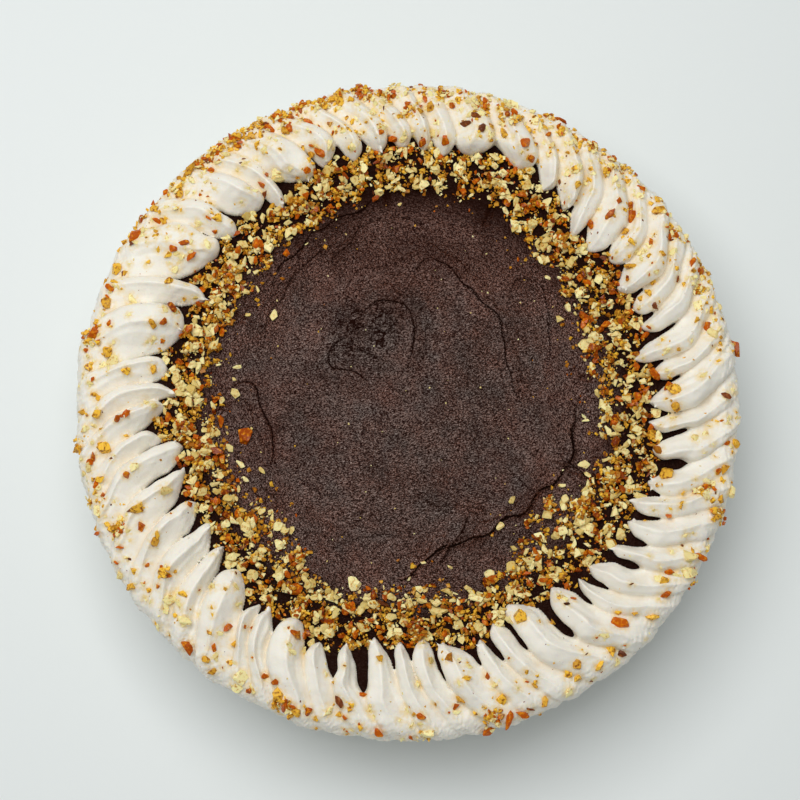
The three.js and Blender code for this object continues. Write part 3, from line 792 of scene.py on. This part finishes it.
def cutBlocks(kind, seed, detail):  # blocks bounded by random cuts: 0 crumbs, 1 chips, 2 large pieces
    rng = np.random.RandomState(seed)
    blocks = []
    for _ in range(chips["shapes"]):
        count = (6, kind["cuts"], kind["cuts"] + 3)[detail]
        upwards = 1 - 2 * (np.arange(count) + 0.5) / count
        turn = np.arange(count) * 2.4
        level = np.sqrt(1 - upwards**2)
        cuts = np.stack([level * np.cos(turn), level * np.sin(turn), upwards], axis=1)
        cuts += rng.normal(size=cuts.shape) * chips["cutJitter"]
        depths = rng.uniform(*chips["cutDepth"], (len(cuts), 1))
        cuts /= np.linalg.norm(cuts, axis=1, keepdims=True) * depths
        corners = [np.linalg.solve(cuts[side], np.ones(3)) for side in hullSides(cuts)]
        corners = np.clip(corners, -chips["longest"], chips["longest"])
        corners = corners * [1, rng.uniform(*kind["narrow"]), rng.uniform(*kind["flat"])]
        work = bmesh.new()
        for corner in corners:
            work.verts.new(corner)
        bmesh.ops.remove_doubles(work, verts=work.verts, dist=chips["welded"][detail])
        hull = bmesh.ops.convex_hull(work, input=work.verts)
        inside = hull["geom_interior"] + hull["geom_unused"]
        loose = {part for part in inside if isinstance(part, bmesh.types.BMVert)}
        bmesh.ops.delete(work, geom=list(loose), context="VERTS")
        if detail == 2:
            softenBlock(work, rng)
        bmesh.ops.triangulate(work, faces=work.faces)
        work.verts.index_update()
        sides = np.array([[v.index for v in face.verts] for face in work.faces])
        blocks.append((np.array([v.co for v in work.verts]), sides))
        work.free()
    return blocks


def turnTo(normals, spins):  # for each chip the axes that lay its flat side against the normal
    normals = normals / np.linalg.norm(normals, axis=1, keepdims=True)
    helper = np.where(np.abs(normals[:, 2:]) < 0.9, [[0.0, 0.0, 1.0]], [[1.0, 0.0, 0.0]])
    first = np.cross(helper, normals)
    first /= np.linalg.norm(first, axis=1, keepdims=True)
    second = np.cross(normals, first)
    c, s = np.cos(spins)[:, None], np.sin(spins)[:, None]
    return np.stack([first * c + second * s, second * c - first * s, normals], axis=2)


def joinChips(name, kind, laid, seed):  # all chips of a kind as one mesh
    blocks = cutBlocks(kind, seed, 0) + cutBlocks(kind, seed + 2, 1) + cutBlocks(kind, seed + 3, 2)
    rng = np.random.RandomState(seed + 1)
    places, sizes, normals = np.split(np.array(laid), [3, 4], axis=1)
    axes = turnTo(normals, rng.uniform(0, 2 * math.pi, len(laid)))
    detail = (sizes[:, 0] > chips["smallBelow"]).astype(int) + (sizes[:, 0] > chips["largeFrom"])
    pick = rng.randint(chips["shapes"], size=len(laid)) + chips["shapes"] * detail
    points, faces, tints, offset = [], [], [], 0
    for number, (corners, sides) in enumerate(blocks):
        mine = np.flatnonzero(pick == number)
        placed = np.einsum("nij,pj->npi", axes[mine], corners) * sizes[mine, None] + places[mine, None]
        points.append(placed.reshape(-1, 3))
        starts = offset + np.arange(len(mine)) * len(corners)
        faces.append((sides[None] + starts[:, None, None]).reshape(-1, 3))
        tint = rng.uniform(0, 1, len(mine))
        # Painted light: chips on the cream get lighter colours, standing in for light thrown back by the
        # cream
        litByCream = np.hypot(*places[mine, :2].T) > chips["litByCreamFrom"]  # on the cream they look lighter
        tints.append(np.repeat(np.where(litByCream, 0.5 + 0.65 * tint, tint), len(corners)))
        offset += len(mine) * len(corners)
    piece = meshPiece(name, np.concatenate(points), np.concatenate(faces).tolist(), flat=True)
    paint(piece, "tint", np.concatenate(tints))
    return piece


def surfaceTree(*pieces):  # what a chip can land on
    corners, sides, offset = [], [], 0
    for piece in pieces:
        points = readPoints(piece) * mm
        corners += [Vector(point) for point in points]
        sides += [[offset + k for k in face.vertices] for face in piece.data.polygons]
        offset += len(points)
    return BVHTree.FromPolygons(corners, sides)


def atPolar(angle, radius):
    return np.stack([radius * np.cos(angle * degree), radius * np.sin(angle * degree)], axis=-1)


outside = 200 * mm  # the rays that look for the cake's surface start this far from its middle
down = Vector((0, 0, -1))


class Nuts:  # the nuts strewn so far, and the glaze with what lies on it as heights on a grid

    def __init__(self, cream, coat):
        self.cream, self.coat = cream, coat
        self.rng = np.random.RandomState(5)
        self.laid = {name: [] for name in chipKinds}
        self.onCream = []
        self.cell, self.half = chips["heapCell"], glazeRadius
        side = np.arange(-self.half, self.half, self.cell) + self.cell / 2
        spots = np.stack(np.meshgrid(side, side, indexing="ij"), axis=-1).reshape(-1, 2)
        self.bare = glazeHeight(spots).reshape(len(side), -1)
        self.heap = self.bare.copy()

    def cellOf(self, x, y):
        return int((x + self.half) / self.cell), int((y + self.half) / self.cell)

    def piled(self, x, y):
        i, j = self.cellOf(x, y)
        return self.heap[i, j] - self.bare[i, j]

    def drop(self, x, y, size):  # the height at which a chip comes to rest on the glaze, or None
        hit = self.cream.ray_cast(Vector((x * mm, y * mm, outside)), down)
        if hit[0] is not None and hit[0].z / mm > glazeTop + 0.8:
            return None
        i, j = self.cellOf(x, y)
        reach = max(1, int(size * chips["spread"] / self.cell))
        patch = self.heap[max(i - reach, 0):i + reach + 1, max(j - reach, 0):j + reach + 1]
        rest = 0.55 * patch.mean() + 0.45 * patch.max()
        if rest - self.bare[i, j] > chips["heapLimit"]:
            return None
        np.maximum(patch, rest + size * chips["thickness"], out=patch)
        return rest + size * chips["thickness"] / 2

    def lay(self, name, x, y, size, tilt):  # on the glaze; False where it would lie on cream
        rest = self.drop(x, y, size)
        if rest is not None:
            normal = np.array([0, 0, 1]) + self.rng.normal(size=3) * [tilt, tilt, 0]
            self.laid[name].append([x, y, rest, size, *normal])
        return rest is not None

    def stick(self, name, x, y, size, depth):  # in the cream, also on the steep rim
        hit = self.cream.ray_cast(Vector((x * mm, y * mm, outside)), down)
        if hit[0] is None or hit[1].z < 0.2:
            way = Vector((-x, -y, 0)).normalized()
            level = (coatTop - 4 + 5 * self.rng.uniform()) * mm
            hit = self.cream.ray_cast(Vector((0, 0, level)) - way * outside, way)
            if hit[0] is None:
                return
        normal = np.array(hit[1])
        place = np.array(hit[0]) / mm + normal * size * depth
        self.laid[name].append([*place, size, *(normal + self.rng.normal(size=3) * 0.2)])
        self.onCream.append([*place, size])

    def drawSize(self, name):  # many small ones, few large
        small, large = chipKinds[name]["sizes"]
        return small + (large - small) * self.rng.uniform() ** chipKinds[name]["power"]

    def drawKind(self, shares):
        left = self.rng.uniform()
        for name, share in shares.items():
            left -= share
            if left < 0:
                break
        return name


def layNoticeable(nuts):
    for name, places in noticeable.items():
        for angle, radius, size in places:
            x, y = atPolar(angle, radius)
            if radius > chips["creamFrom"] or not nuts.lay(name, x, y, 1.1 * size, 0.15):
                nuts.stick(name, x, y, 1.3 * size, 0.1)


# Each chip of the band: how late it falls, its kind, its size, and two places where its kind gathers
def drawBand(nuts):
    rng = nuts.rng
    edgeAngles, edgeRadii = np.array(chips["innerEdge"]).T
    order = []
    for number, (name, kind) in enumerate(chipKinds.items()):
        count = kind["band"]
        sizes = np.array([nuts.drawSize(name) for _ in range(count)])
        angle = rng.uniform(0, 360, (count, 4))
        inner = np.interp(angle, edgeAngles, edgeRadii, period=360)
        strayed = rng.uniform(size=(count, 4)) < chips["strayed"]
        inner = inner + 1.5 * softNoise(atPolar(angle, inner).reshape(-1, 2), 9, 31).reshape(angle.shape)
        outer = tipRadiusAt(angle) + 3
        radius = inner + (outer - inner) * rng.uniform(size=angle.shape) ** 0.8
        radius = np.where(strayed, inner - np.abs(rng.normal(size=angle.shape)) * 6, radius)
        spots = atPolar(angle, radius)
        flat = spots.reshape(-1, 2)
        liking = softNoise(flat, chips["clumps"], 32)
        liking = liking + 1.1 * softNoise(flat, chips["clumps"] * 1.3, 35 + number)
        best = np.argsort(-liking.reshape(angle.shape), axis=1)[:, :2]
        chosen = spots[np.arange(count)[:, None], best]
        late = rng.uniform(0, 1, count) + 0.25 * (sizes > 2.4)
        order += [(late[i], name, sizes[i], chosen[i].tolist()) for i in range(count)]
    return sorted(order)


def strewGlaze(nuts):
    rng = nuts.rng
    for _, name, size, places in drawBand(nuts):
        x, y = places[0]
        if rng.uniform() < 0.6:  # most fall where less lies yet
            x, y = min(places, key=lambda place: nuts.piled(*place))
        nuts.lay(name, x, y, size, chips["tilt"])
    for angle, radius, spread, count in crumbClusters:
        for _ in range(int(1.5 * count)):
            x, y = atPolar(angle, radius) + rng.normal(size=2) * spread * 0.65
            name = nuts.drawKind(chips["clusterKinds"])
            size = rng.uniform(*chips["clusterSizes"])
            if radius > chips["creamFrom"] or not nuts.lay(name, x, y, size, 0.8):
                nuts.stick(name, x, y, size, rng.uniform(0, 0.7))
    for _ in range(chips["middleCrumbs"]):
        x, y = atPolar(rng.uniform(0, 360), chips["middleRadius"] * math.sqrt(rng.uniform()))
        name = nuts.drawKind(chips["middleKinds"])
        nuts.lay(name, x, y, rng.uniform(*chips["middleSizes"]), chips["tilt"])


def strewCream(nuts):  # single chips and loose groups, most along the rim and at the tips
    rng = nuts.rng
    for name, kind in chipKinds.items():
        remaining = kind["cream"]
        while remaining > 0:
            angle = rng.uniform(0, 360)
            heavy = max(math.cos((angle - chips["heavySide"]) * degree), 0) ** 1.5
            if rng.uniform() > 0.3 + 0.7 * heavy:
                continue
            tip = tipRadiusAt(angle)
            place = rng.uniform()
            alongRim = place < chips["rimShare"]
            radius = rng.triangular(*chips["onRim"]) if alongRim else rng.uniform(tip + 4, 120)
            if place > 1 - chips["tipShare"]:
                radius = tip + rng.uniform(1, 8)
            for _ in range(1 + int(rng.exponential(chips["groups"]))):
                x, y = atPolar(angle, radius) + rng.normal(size=2) * chips["groupSpread"]
                nuts.stick(name, x, y, 0.5 + 0.9 * nuts.drawSize(name), kind["pressed"])
                remaining -= 1
    for start, end, count in chips["fringe"]:
        for _ in range(count):
            angle = rng.uniform(start, end)
            # The crumbs along the rim lie in loose groups
            if math.sin(angle * 0.9) + math.sin(angle * 0.37) < rng.uniform(-2.2, 0.6):
                continue
            x, y = atPolar(angle, rng.triangular(*chips["fringeRadii"]))
            name = nuts.drawKind(chips["fringeKinds"])
            nuts.stick(name, x, y, rng.uniform(*chips["fringeSizes"]), rng.uniform(0, 0.3))
    for _ in range(chips["specks"]):
        x, y = atPolar(rng.uniform(0, 360), rng.uniform(100, 133))
        name = nuts.drawKind(chips["speckKinds"])
        nuts.stick(name, x, y, rng.uniform(*chips["speckSizes"]), 0)


def strewSide(nuts):  # a few crumbs down the side
    rng = nuts.rng
    for _ in range(chips["sideCrumbs"]):
        angle, height = rng.uniform(0, 2 * math.pi), rng.uniform(6, 50)
        way = Vector((-math.cos(angle), -math.sin(angle), 0))
        hit = nuts.coat.ray_cast(Vector((0, 0, height * mm)) - way * outside, way)
        if hit[0] is not None:
            name = chips["sideKinds"][rng.randint(3)]
            size = min(nuts.drawSize(name), chips["sideLargest"])
            normal = np.array(hit[1]) + rng.normal(size=3) * 0.2
            nuts.laid[name].append([*(np.array(hit[0]) / mm), size, *normal])


def stains(piece, laid):  # how far the nuts have coloured the cream round them
    points = readPoints(piece)
    tree = KDTree(len(points))
    for i, point in enumerate(points):
        tree.insert(point, i)
    tree.balance()
    stain = np.zeros(len(points))
    for x, y, z, size in laid:
        if size < chips["stainFrom"]:
            continue
        reach = size * 0.5 + chips["stainReach"]
        for _, i, distance in tree.find_range((x, y, z), reach):
            stain[i] = max(stain[i], chips["stain"] * (1 - distance / reach) ** 0.7)
    return stain


# Materials


def srgb(code):  # a hex colour turned linear
    channels = [int(code[i:i + 2], 16) / 255 for i in (1, 3, 5)]
    linear = [c / 12.92 if c <= 0.04045 else ((c + 0.055) / 1.055) ** 2.4 for c in channels]
    return (*linear, 1.0)


def add(tree, kind, inputs=None, **settings):  # one node; an input given as a node takes its result
    made = tree.nodes.new("ShaderNode" + kind)
    for key, value in settings.items():
        setattr(made, key, value)
    for key, value in (inputs or {}).items():
        if isinstance(value, bpy.types.Node):
            value = next(socket for socket in value.outputs if socket.enabled)
        if isinstance(value, bpy.types.NodeSocket):
            tree.links.new(value, made.inputs[key])
        else:
            made.inputs[key].default_value = value
    return made


def newMaterial(name):
    material = bpy.data.materials.new(name)
    material.use_nodes = True
    material.node_tree.nodes.clear()
    return material, material.node_tree


def coverWith(tree, looks):  # the shader that closes a material
    add(tree, "OutputMaterial", {"Surface": add(tree, "BsdfPrincipled", looks)})


def whippedCream(name, relief):
    # Whipped cream: a fat foam that scatters light inside, so its shadows are soft and warm, and its
    # skin is satin with fine air pores. It has painted warm shade in its hollows and is stained yellow round
    # the nuts
    material, tree = newMaterial(name)
    spot = add(tree, "TexCoord").outputs["Object"]
    hollowShade = add(tree, "Attribute", attribute_name="hollowShade").outputs["Fac"]
    stain = add(tree, "Attribute", attribute_name="stain").outputs["Fac"]
    mottle = add(tree, "TexNoise", {"Vector": spot, "Scale": 1 / (7 * mm), "Detail": 3.0})
    base = add(tree, "Mix", {0: mottle, 6: srgb("#EEE8DA"), 7: srgb("#F4F0E5")}, data_type="RGBA")
    # Painted shade: the hollows between and on the ridges are mixed toward a darker peach
    hollowShadeShare = add(tree, "MapRange", {"Value": hollowShade, "From Min": 0.1, "From Max": 1.0, "To Max": 0.7})
    warm = add(tree, "Mix", {0: hollowShadeShare, 6: base, 7: srgb("#DAC7A6")}, data_type="RGBA")
    spread = add(tree, "TexNoise", {"Vector": spot, "Scale": 1 / (1.6 * mm), "Detail": 4.0})
    uneven = add(tree, "MapRange", {"Value": spread, "From Min": 0.35, "From Max": 0.6})
    share = add(tree, "Math", {0: stain, 1: uneven}, operation="MULTIPLY")
    colour = add(tree, "Mix", {0: share, 6: warm, 7: srgb("#EBC764")}, data_type="RGBA")
    pores = add(tree, "TexNoise", {"Vector": spot, "Scale": 1 / (0.55 * mm), "Detail": 2.0})
    lumps = add(tree, "TexNoise", {"Vector": spot, "Scale": 1 / (2.4 * mm), "Detail": 3.0})
    height = add(tree, "Math", {0: lumps, 1: 1.6, 2: pores}, operation="MULTIPLY_ADD")
    bump = add(tree, "Bump", {"Height": height, "Distance": 0.1 * mm * relief, "Strength": 0.8})
    coverWith(tree, {
        "Base Color": colour, "Normal": bump, "Roughness": 0.5, "IOR": 1.43, "Subsurface Weight": 0.3,
        "Subsurface Radius": (1.0, 0.8, 0.55), "Subsurface Scale": 0.6 * mm,
    })
    return material


def darkGlaze():
    # Chocolate ganache spread cold with a knife: dark and dull in its pores, which are painted with shade,
    # with a satin sheen on the fine bumps between them, drawn out round the middle near the border and along
    # the strokes inside it. The sheen is gloss and is also painted into the colour as a lighter brown. Its
    # brown runs from a greyer painted reflection to reddish, and a crisp painted shadow line lies under each
    # fold
    material, tree = newMaterial("dark chocolate ganache")
    spot = add(tree, "TexCoord").outputs["Object"]
    fold = add(tree, "Attribute", attribute_name="fold").outputs["Fac"]
    marked = add(tree, "Attribute", attribute_name="marked").outputs["Fac"]
    apart = add(tree, "SeparateXYZ", {"Vector": spot})
    x, y = apart.outputs["X"], apart.outputs["Y"]
    flat = add(tree, "CombineXYZ", {"X": x, "Y": y})
    radius = add(tree, "VectorMath", {0: flat}, operation="LENGTH")
    facing = add(tree, "VectorMath", {0: flat}, operation="NORMALIZE")
    turned = add(tree, "VectorMath", {0: facing, "Scale": 50 * mm}, operation="SCALE")
    lifted = add(tree, "CombineXYZ", {"Z": radius})
    ring = add(tree, "VectorMath", {0: turned, 1: lifted}, operation="ADD")
    along = add(tree, "Mapping", {"Vector": spot, "Rotation": (0, 0, 0.2), "Scale": (1.6, 1, 1)},
                vector_type="TEXTURE")
    fine = {"Scale": 1 / (0.46 * mm), "Detail": 1.5, "Roughness": 0.6, "Distortion": 0.6}
    dragged = add(tree, "TexNoise", {"Vector": ring, **fine})
    stroked = add(tree, "TexNoise", {"Vector": along, **fine})
    outer = add(tree, "MapRange", {"Value": radius, "From Min": 54 * mm, "From Max": 57 * mm})
    grain = add(tree, "Mix", {0: outer, 2: stroked, 3: dragged})
    cloud = add(tree, "TexNoise", {"Vector": spot, "Scale": 1 / (17 * mm), "Detail": 4.0})
    pits = add(tree, "TexNoise", {"Vector": spot, "Scale": 1 / (1.5 * mm), "Detail": 3.0})
    # Painted shade in the pores, which have no relief of their own in the bump
    poreShade = add(tree, "MapRange", {"Value": pits, "From Min": 0.64, "From Max": 0.72})

    # The fold's line is ragged, and just under it the chocolate is in shadow
    ragged = add(tree, "Math", {0: pits, 1: 1.0, 2: -0.5}, operation="MULTIPLY_ADD")
    wavy = add(tree, "Math", {0: fold, 1: ragged}, operation="ADD")
    fromLine = add(tree, "Math", {0: wavy, 1: 0.4}, operation="SUBTRACT")
    distance = add(tree, "Math", {0: fromLine}, operation="ABSOLUTE")
    width = add(tree, "MapRange", {"Value": cloud, "From Min": 0.3, "From Max": 0.7,
                                   "To Min": 0.2, "To Max": 0.85})
    line = add(tree, "MapRange", {"Value": distance, "From Min": width, "From Max": 0.0})
    creaseShadow = add(tree, "Math", {0: line, 1: marked}, operation="MULTIPLY")
    step = add(tree, "MapRange", {"Value": wavy, "From Min": -0.3, "From Max": 0.6,
                                  "To Min": 1.0, "To Max": 0.0})
    stepped = add(tree, "Math", {0: step, 1: marked}, operation="MULTIPLY")

    # Wrinkles where the knife tore the surface, their lines darkened and dulled with painted shade
    tornSpot = (glaze["tornAt"][0] * mm, glaze["tornAt"][1] * mm, 0)
    fromTorn = add(tree, "VectorMath", {0: flat, 1: tornSpot}, operation="DISTANCE")
    torn = add(tree, "MapRange", {"Value": fromTorn, "From Min": 17 * mm, "From Max": 8 * mm})
    folded = add(tree, "TexNoise", {"Vector": along, "Scale": 1 / (4.5 * mm), "Detail": 5.0})
    middle = add(tree, "Math", {0: folded, 1: 0.5}, operation="SUBTRACT")
    ridged = add(tree, "Math", {0: middle}, operation="ABSOLUTE")
    wrinkle = add(tree, "MapRange", {"Value": ridged, "From Min": 0.035, "From Max": 0.0})
    wrinkleShade = add(tree, "Math", {0: wrinkle, 1: torn}, operation="MULTIPLY")

    # The sheen lies on the bumps, both as gloss and as painted lighter colour. It is duller on the far side,
    # and under the nuts it ends in painted shade
    far = add(tree, "MapRange", {"Value": y, "From Min": 34 * mm, "From Max": 66 * mm})
    underNutsShade = add(tree, "MapRange", {"Value": radius, "From Min": 74 * mm, "From Max": 88 * mm,
                                   "To Min": 1.0, "To Max": 0.05})
    bumps = add(tree, "MapRange", {"Value": grain, "From Min": 0.43, "From Max": 0.625, "To Min": 0.03})
    patches = add(tree, "MapRange", {"Value": cloud, "From Min": 0.35, "From Max": 0.65,
                                     "To Min": 0.66, "To Max": 1.16})
    sheenStrength = add(tree, "Math", {0: far, 1: -0.2, 2: patches}, operation="MULTIPLY_ADD")
    sheen = add(tree, "Math", {0: bumps, 1: sheenStrength}, operation="MULTIPLY")
    shaded = add(tree, "Math", {0: sheen, 1: underNutsShade}, operation="MULTIPLY")
    pocked = add(tree, "Math", {0: shaded, 1: poreShade}, operation="SUBTRACT")
    uncracked = add(tree, "Math", {0: pocked, 1: wrinkleShade}, operation="SUBTRACT")
    level = add(tree, "Math", {0: uncracked, 1: creaseShadow}, operation="SUBTRACT", use_clamp=True)

    # Greyer and redder clouds: the greyer tone is a painted reflection, strongest in the middle, on the near
    # side and where it is torn; toward the rim and on the far side the brown is redder
    clouds = add(tree, "TexNoise", {"Vector": spot, "Scale": 1 / (12 * mm), "Detail": 3.0, "W": 3.0},
                 noise_dimensions="4D")
    rimward = add(tree, "MapRange", {"Value": radius, "From Min": 40 * mm, "From Max": 75 * mm,
                                     "To Max": 0.12})
    nearRim = add(tree, "Math", {0: rimward, 1: clouds}, operation="ADD")
    leaning = add(tree, "Math", {0: far, 1: 0.3, 2: nearRim}, operation="MULTIPLY_ADD")
    cooled = add(tree, "Math", {0: torn, 1: -0.14, 2: leaning}, operation="MULTIPLY_ADD")
    warm = add(tree, "MapRange", {"Value": cooled, "From Min": 0.36, "From Max": 0.7})
    greyReflectionToRed = add(tree, "Mix", {0: warm, 6: srgb("#503A31"), 7: srgb("#663017")}, data_type="RGBA")
    # Painted sheen and shade: the colour runs from near black to a lighter brown as the sheen level rises
    paintedSheenColour = add(tree, "Mix", {0: level, 6: srgb("#1D0A05"), 7: greyReflectionToRed}, data_type="RGBA")
    # Painted shadow: under each fold the colour goes nearly black
    colour = add(tree, "Mix", {0: creaseShadow, 6: paintedSheenColour, 7: srgb("#150804")}, data_type="RGBA")
    gloss = add(tree, "MapRange", {"Value": level, "To Min": 0.02, "To Max": 1.28})
    rough = add(tree, "MapRange", {"Value": cloud, "From Min": 0.35, "From Max": 0.65,
                                   "To Min": 0.33, "To Max": 0.43})
    height = add(tree, "Math", {0: stepped, 1: 1.5, 2: grain}, operation="MULTIPLY_ADD")
    bump = add(tree, "Bump", {"Height": height, "Distance": 0.5 * mm, "Strength": 1.0})
    coverWith(tree, {
        "Base Color": colour, "Specular IOR Level": gloss, "Roughness": rough, "Normal": bump, "IOR": 1.5,
        "Specular Tint": (1.0, 0.91, 0.85, 1.0),
    })
    return material


def chippedNut(name, dark, light, patch, patchShare, roughness, gloss, depth):
    # Colours run from dark to light from chip to chip, and patches of another colour cross each chip
    material, tree = newMaterial(name)
    spot = add(tree, "TexCoord").outputs["Object"]
    tint = add(tree, "Attribute", attribute_name="tint").outputs["Fac"]
    base = add(tree, "Mix", {0: tint, 6: srgb(dark), 7: srgb(light)}, data_type="RGBA")
    noise = add(tree, "TexNoise", {"Vector": spot, "Scale": 1 / (1.3 * mm), "Detail": 3.0})
    edge = add(tree, "MapRange", {"Value": noise, "From Min": 0.6 - patchShare / 2,
                                  "From Max": 0.8 - patchShare / 2})
    colour = add(tree, "Mix", {0: edge, 6: base, 7: srgb(patch)}, data_type="RGBA")
    fine = add(tree, "TexNoise", {"Vector": spot, "Scale": 1 / (0.5 * mm), "Detail": 2.0})
    bump = add(tree, "Bump", {"Height": fine, "Distance": 0.08 * mm, "Strength": 0.6})
    coverWith(tree, {
        "Base Color": colour, "Normal": bump, "Roughness": roughness, "IOR": 1.47,
        "Specular IOR Level": 0.18, "Coat Weight": gloss, "Coat Roughness": 0.2, "Subsurface Weight": 0.2,
        "Subsurface Radius": (1.0, 0.55, 0.25), "Subsurface Scale": depth * mm,
    })
    return material


# Pieces
coatPiece = spreadCoat()
stage("coat spread")
bounds = ridgeBounds()
half = len(bounds) // 2
borderPieces = [pipeBorder("cream_border_far", range(half), bounds),
                pipeBorder("cream_border_near", range(half, len(bounds)), bounds)]
stage("border piped")
glazePiece = spreadGlaze()
stage("glaze spread")

nuts = Nuts(surfaceTree(*borderPieces), surfaceTree(coatPiece))
layNoticeable(nuts)
strewGlaze(nuts)
strewCream(nuts)
strewSide(nuts)
stage(f"nuts strewn, {sum(len(laid) for laid in nuts.laid.values())} chips")

# The hollows of the piped cream are marked for painted shade, and round the nuts the cream is stained
for piece in borderPieces:
    paint(piece, "hollowShade", unevenness(piece, *border["hollowShade"]))
    paint(piece, "stain", stains(piece, nuts.onCream))
stage("cream shaded and stained")

chipMaterials = {
    "nut_kernels": chippedNut("broken almond kernel", "#D4B868", "#FAECAC", "#C08A34", 0.14, 0.42, 0.1, 0.8),
    "nut_golden": chippedNut("golden praline crumb", "#A05A0C", "#FAC440", "#8A460A", 0.24, 0.34, 0.08, 0.9),
    "nut_caramel": chippedNut("amber caramel", "#6C2400", "#C25A04", "#E08C12", 0.2, 0.24, 0.04, 0.8),
    "nut_skins": chippedNut("roasted nut skin", "#3A1A0A", "#7A3A12", "#A8601F", 0.16, 0.45, 0.15, 0.3),
}

pieces = [coatPiece, *borderPieces, glazePiece]
coatPiece.data.materials.append(whippedCream("whipped cream, spread", 0.6))
piped = whippedCream("whipped cream, piped", 1.0)
glazePiece.data.materials.append(darkGlaze())
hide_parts("coated_cake")
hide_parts("chocolate_glaze")
for piece, nodes in zip(borderPieces, (ridgeNodes[:half], ridgeNodes[half:])):
    piece.data.materials.append(piped)
    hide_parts(*nodes)
for number, (name, kind) in enumerate(chipKinds.items()):
    piece = joinChips(name, kind, nuts.laid[name], 40 + 10 * number)
    piece.data.materials.append(chipMaterials[name])
    pieces.append(piece)
for piece in pieces:
    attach(piece, "root")
stage(f"nuts chopped, {[len(piece.data.polygons) for piece in pieces]} faces")

# The stage: a pale tabletop, soft light from the upper left, and the camera above the front edge
studio = {
    "lens": 100,  # mm on a 36 mm sensor
    "distance": 892,
    "elevation": 80.3,
    "aim": (-3.2, 1.5, 62),  # what the middle of the picture looks at
    "tableWidth": 6000,
    "table": "#E2E7E5",
    "tableLight": "#E9EDEC",
    "sky": "#F1F4F5",
    "skyStrength": 0.38,
    "lampPlace": (-210, 260, 1130),
    "lampAim": (0, 0, 50),
    "lampSize": 850,
    "lampPower": 9.9,
}

bpy.ops.mesh.primitive_plane_add(size=studio["tableWidth"] * mm)
table = bpy.context.object
table.name = "tabletop"
material, tree = newMaterial("matte white laminate")  # even and pale, with hardly any gloss
spot = add(tree, "TexCoord").outputs["Object"]
faint = add(tree, "TexNoise", {"Vector": spot, "Scale": 3.0, "Detail": 2.0})
tone = add(tree, "Mix", {0: faint, 6: srgb(studio["table"]), 7: srgb(studio["tableLight"])},
           data_type="RGBA")
coverWith(tree, {"Base Color": tone, "Roughness": 0.6})
table.data.materials.append(material)

world = bpy.data.worlds.new("studio")
bpy.context.scene.world = world
world.use_nodes = True
world.node_tree.nodes["Background"].inputs["Color"].default_value = srgb(studio["sky"])
world.node_tree.nodes["Background"].inputs["Strength"].default_value = studio["skyStrength"]

lamp = bpy.data.objects.new("window light", bpy.data.lights.new("window light", "AREA"))
lamp.data.size = studio["lampSize"] * mm
lamp.data.energy = studio["lampPower"]
lamp.location = Vector(studio["lampPlace"]) * mm
shining = Vector(studio["lampAim"]) * mm - lamp.location
lamp.rotation_euler = shining.to_track_quat("-Z", "Y").to_euler()
bpy.context.scene.collection.objects.link(lamp)

camera = bpy.data.objects.new("camera", bpy.data.cameras.new("camera"))
camera.data.lens = studio["lens"]
camera.data.sensor_width = 36
rise = studio["elevation"] * degree
away = Vector((0, -math.cos(rise), math.sin(rise))) * studio["distance"] * mm
camera.location = Vector(studio["aim"]) * mm + away
camera.rotation_euler = (math.pi / 2 - rise, 0, 0)
bpy.context.scene.collection.objects.link(camera)
bpy.context.scene.camera = camera
bpy.context.scene.view_settings.view_transform = "Standard"
stage("stage set")
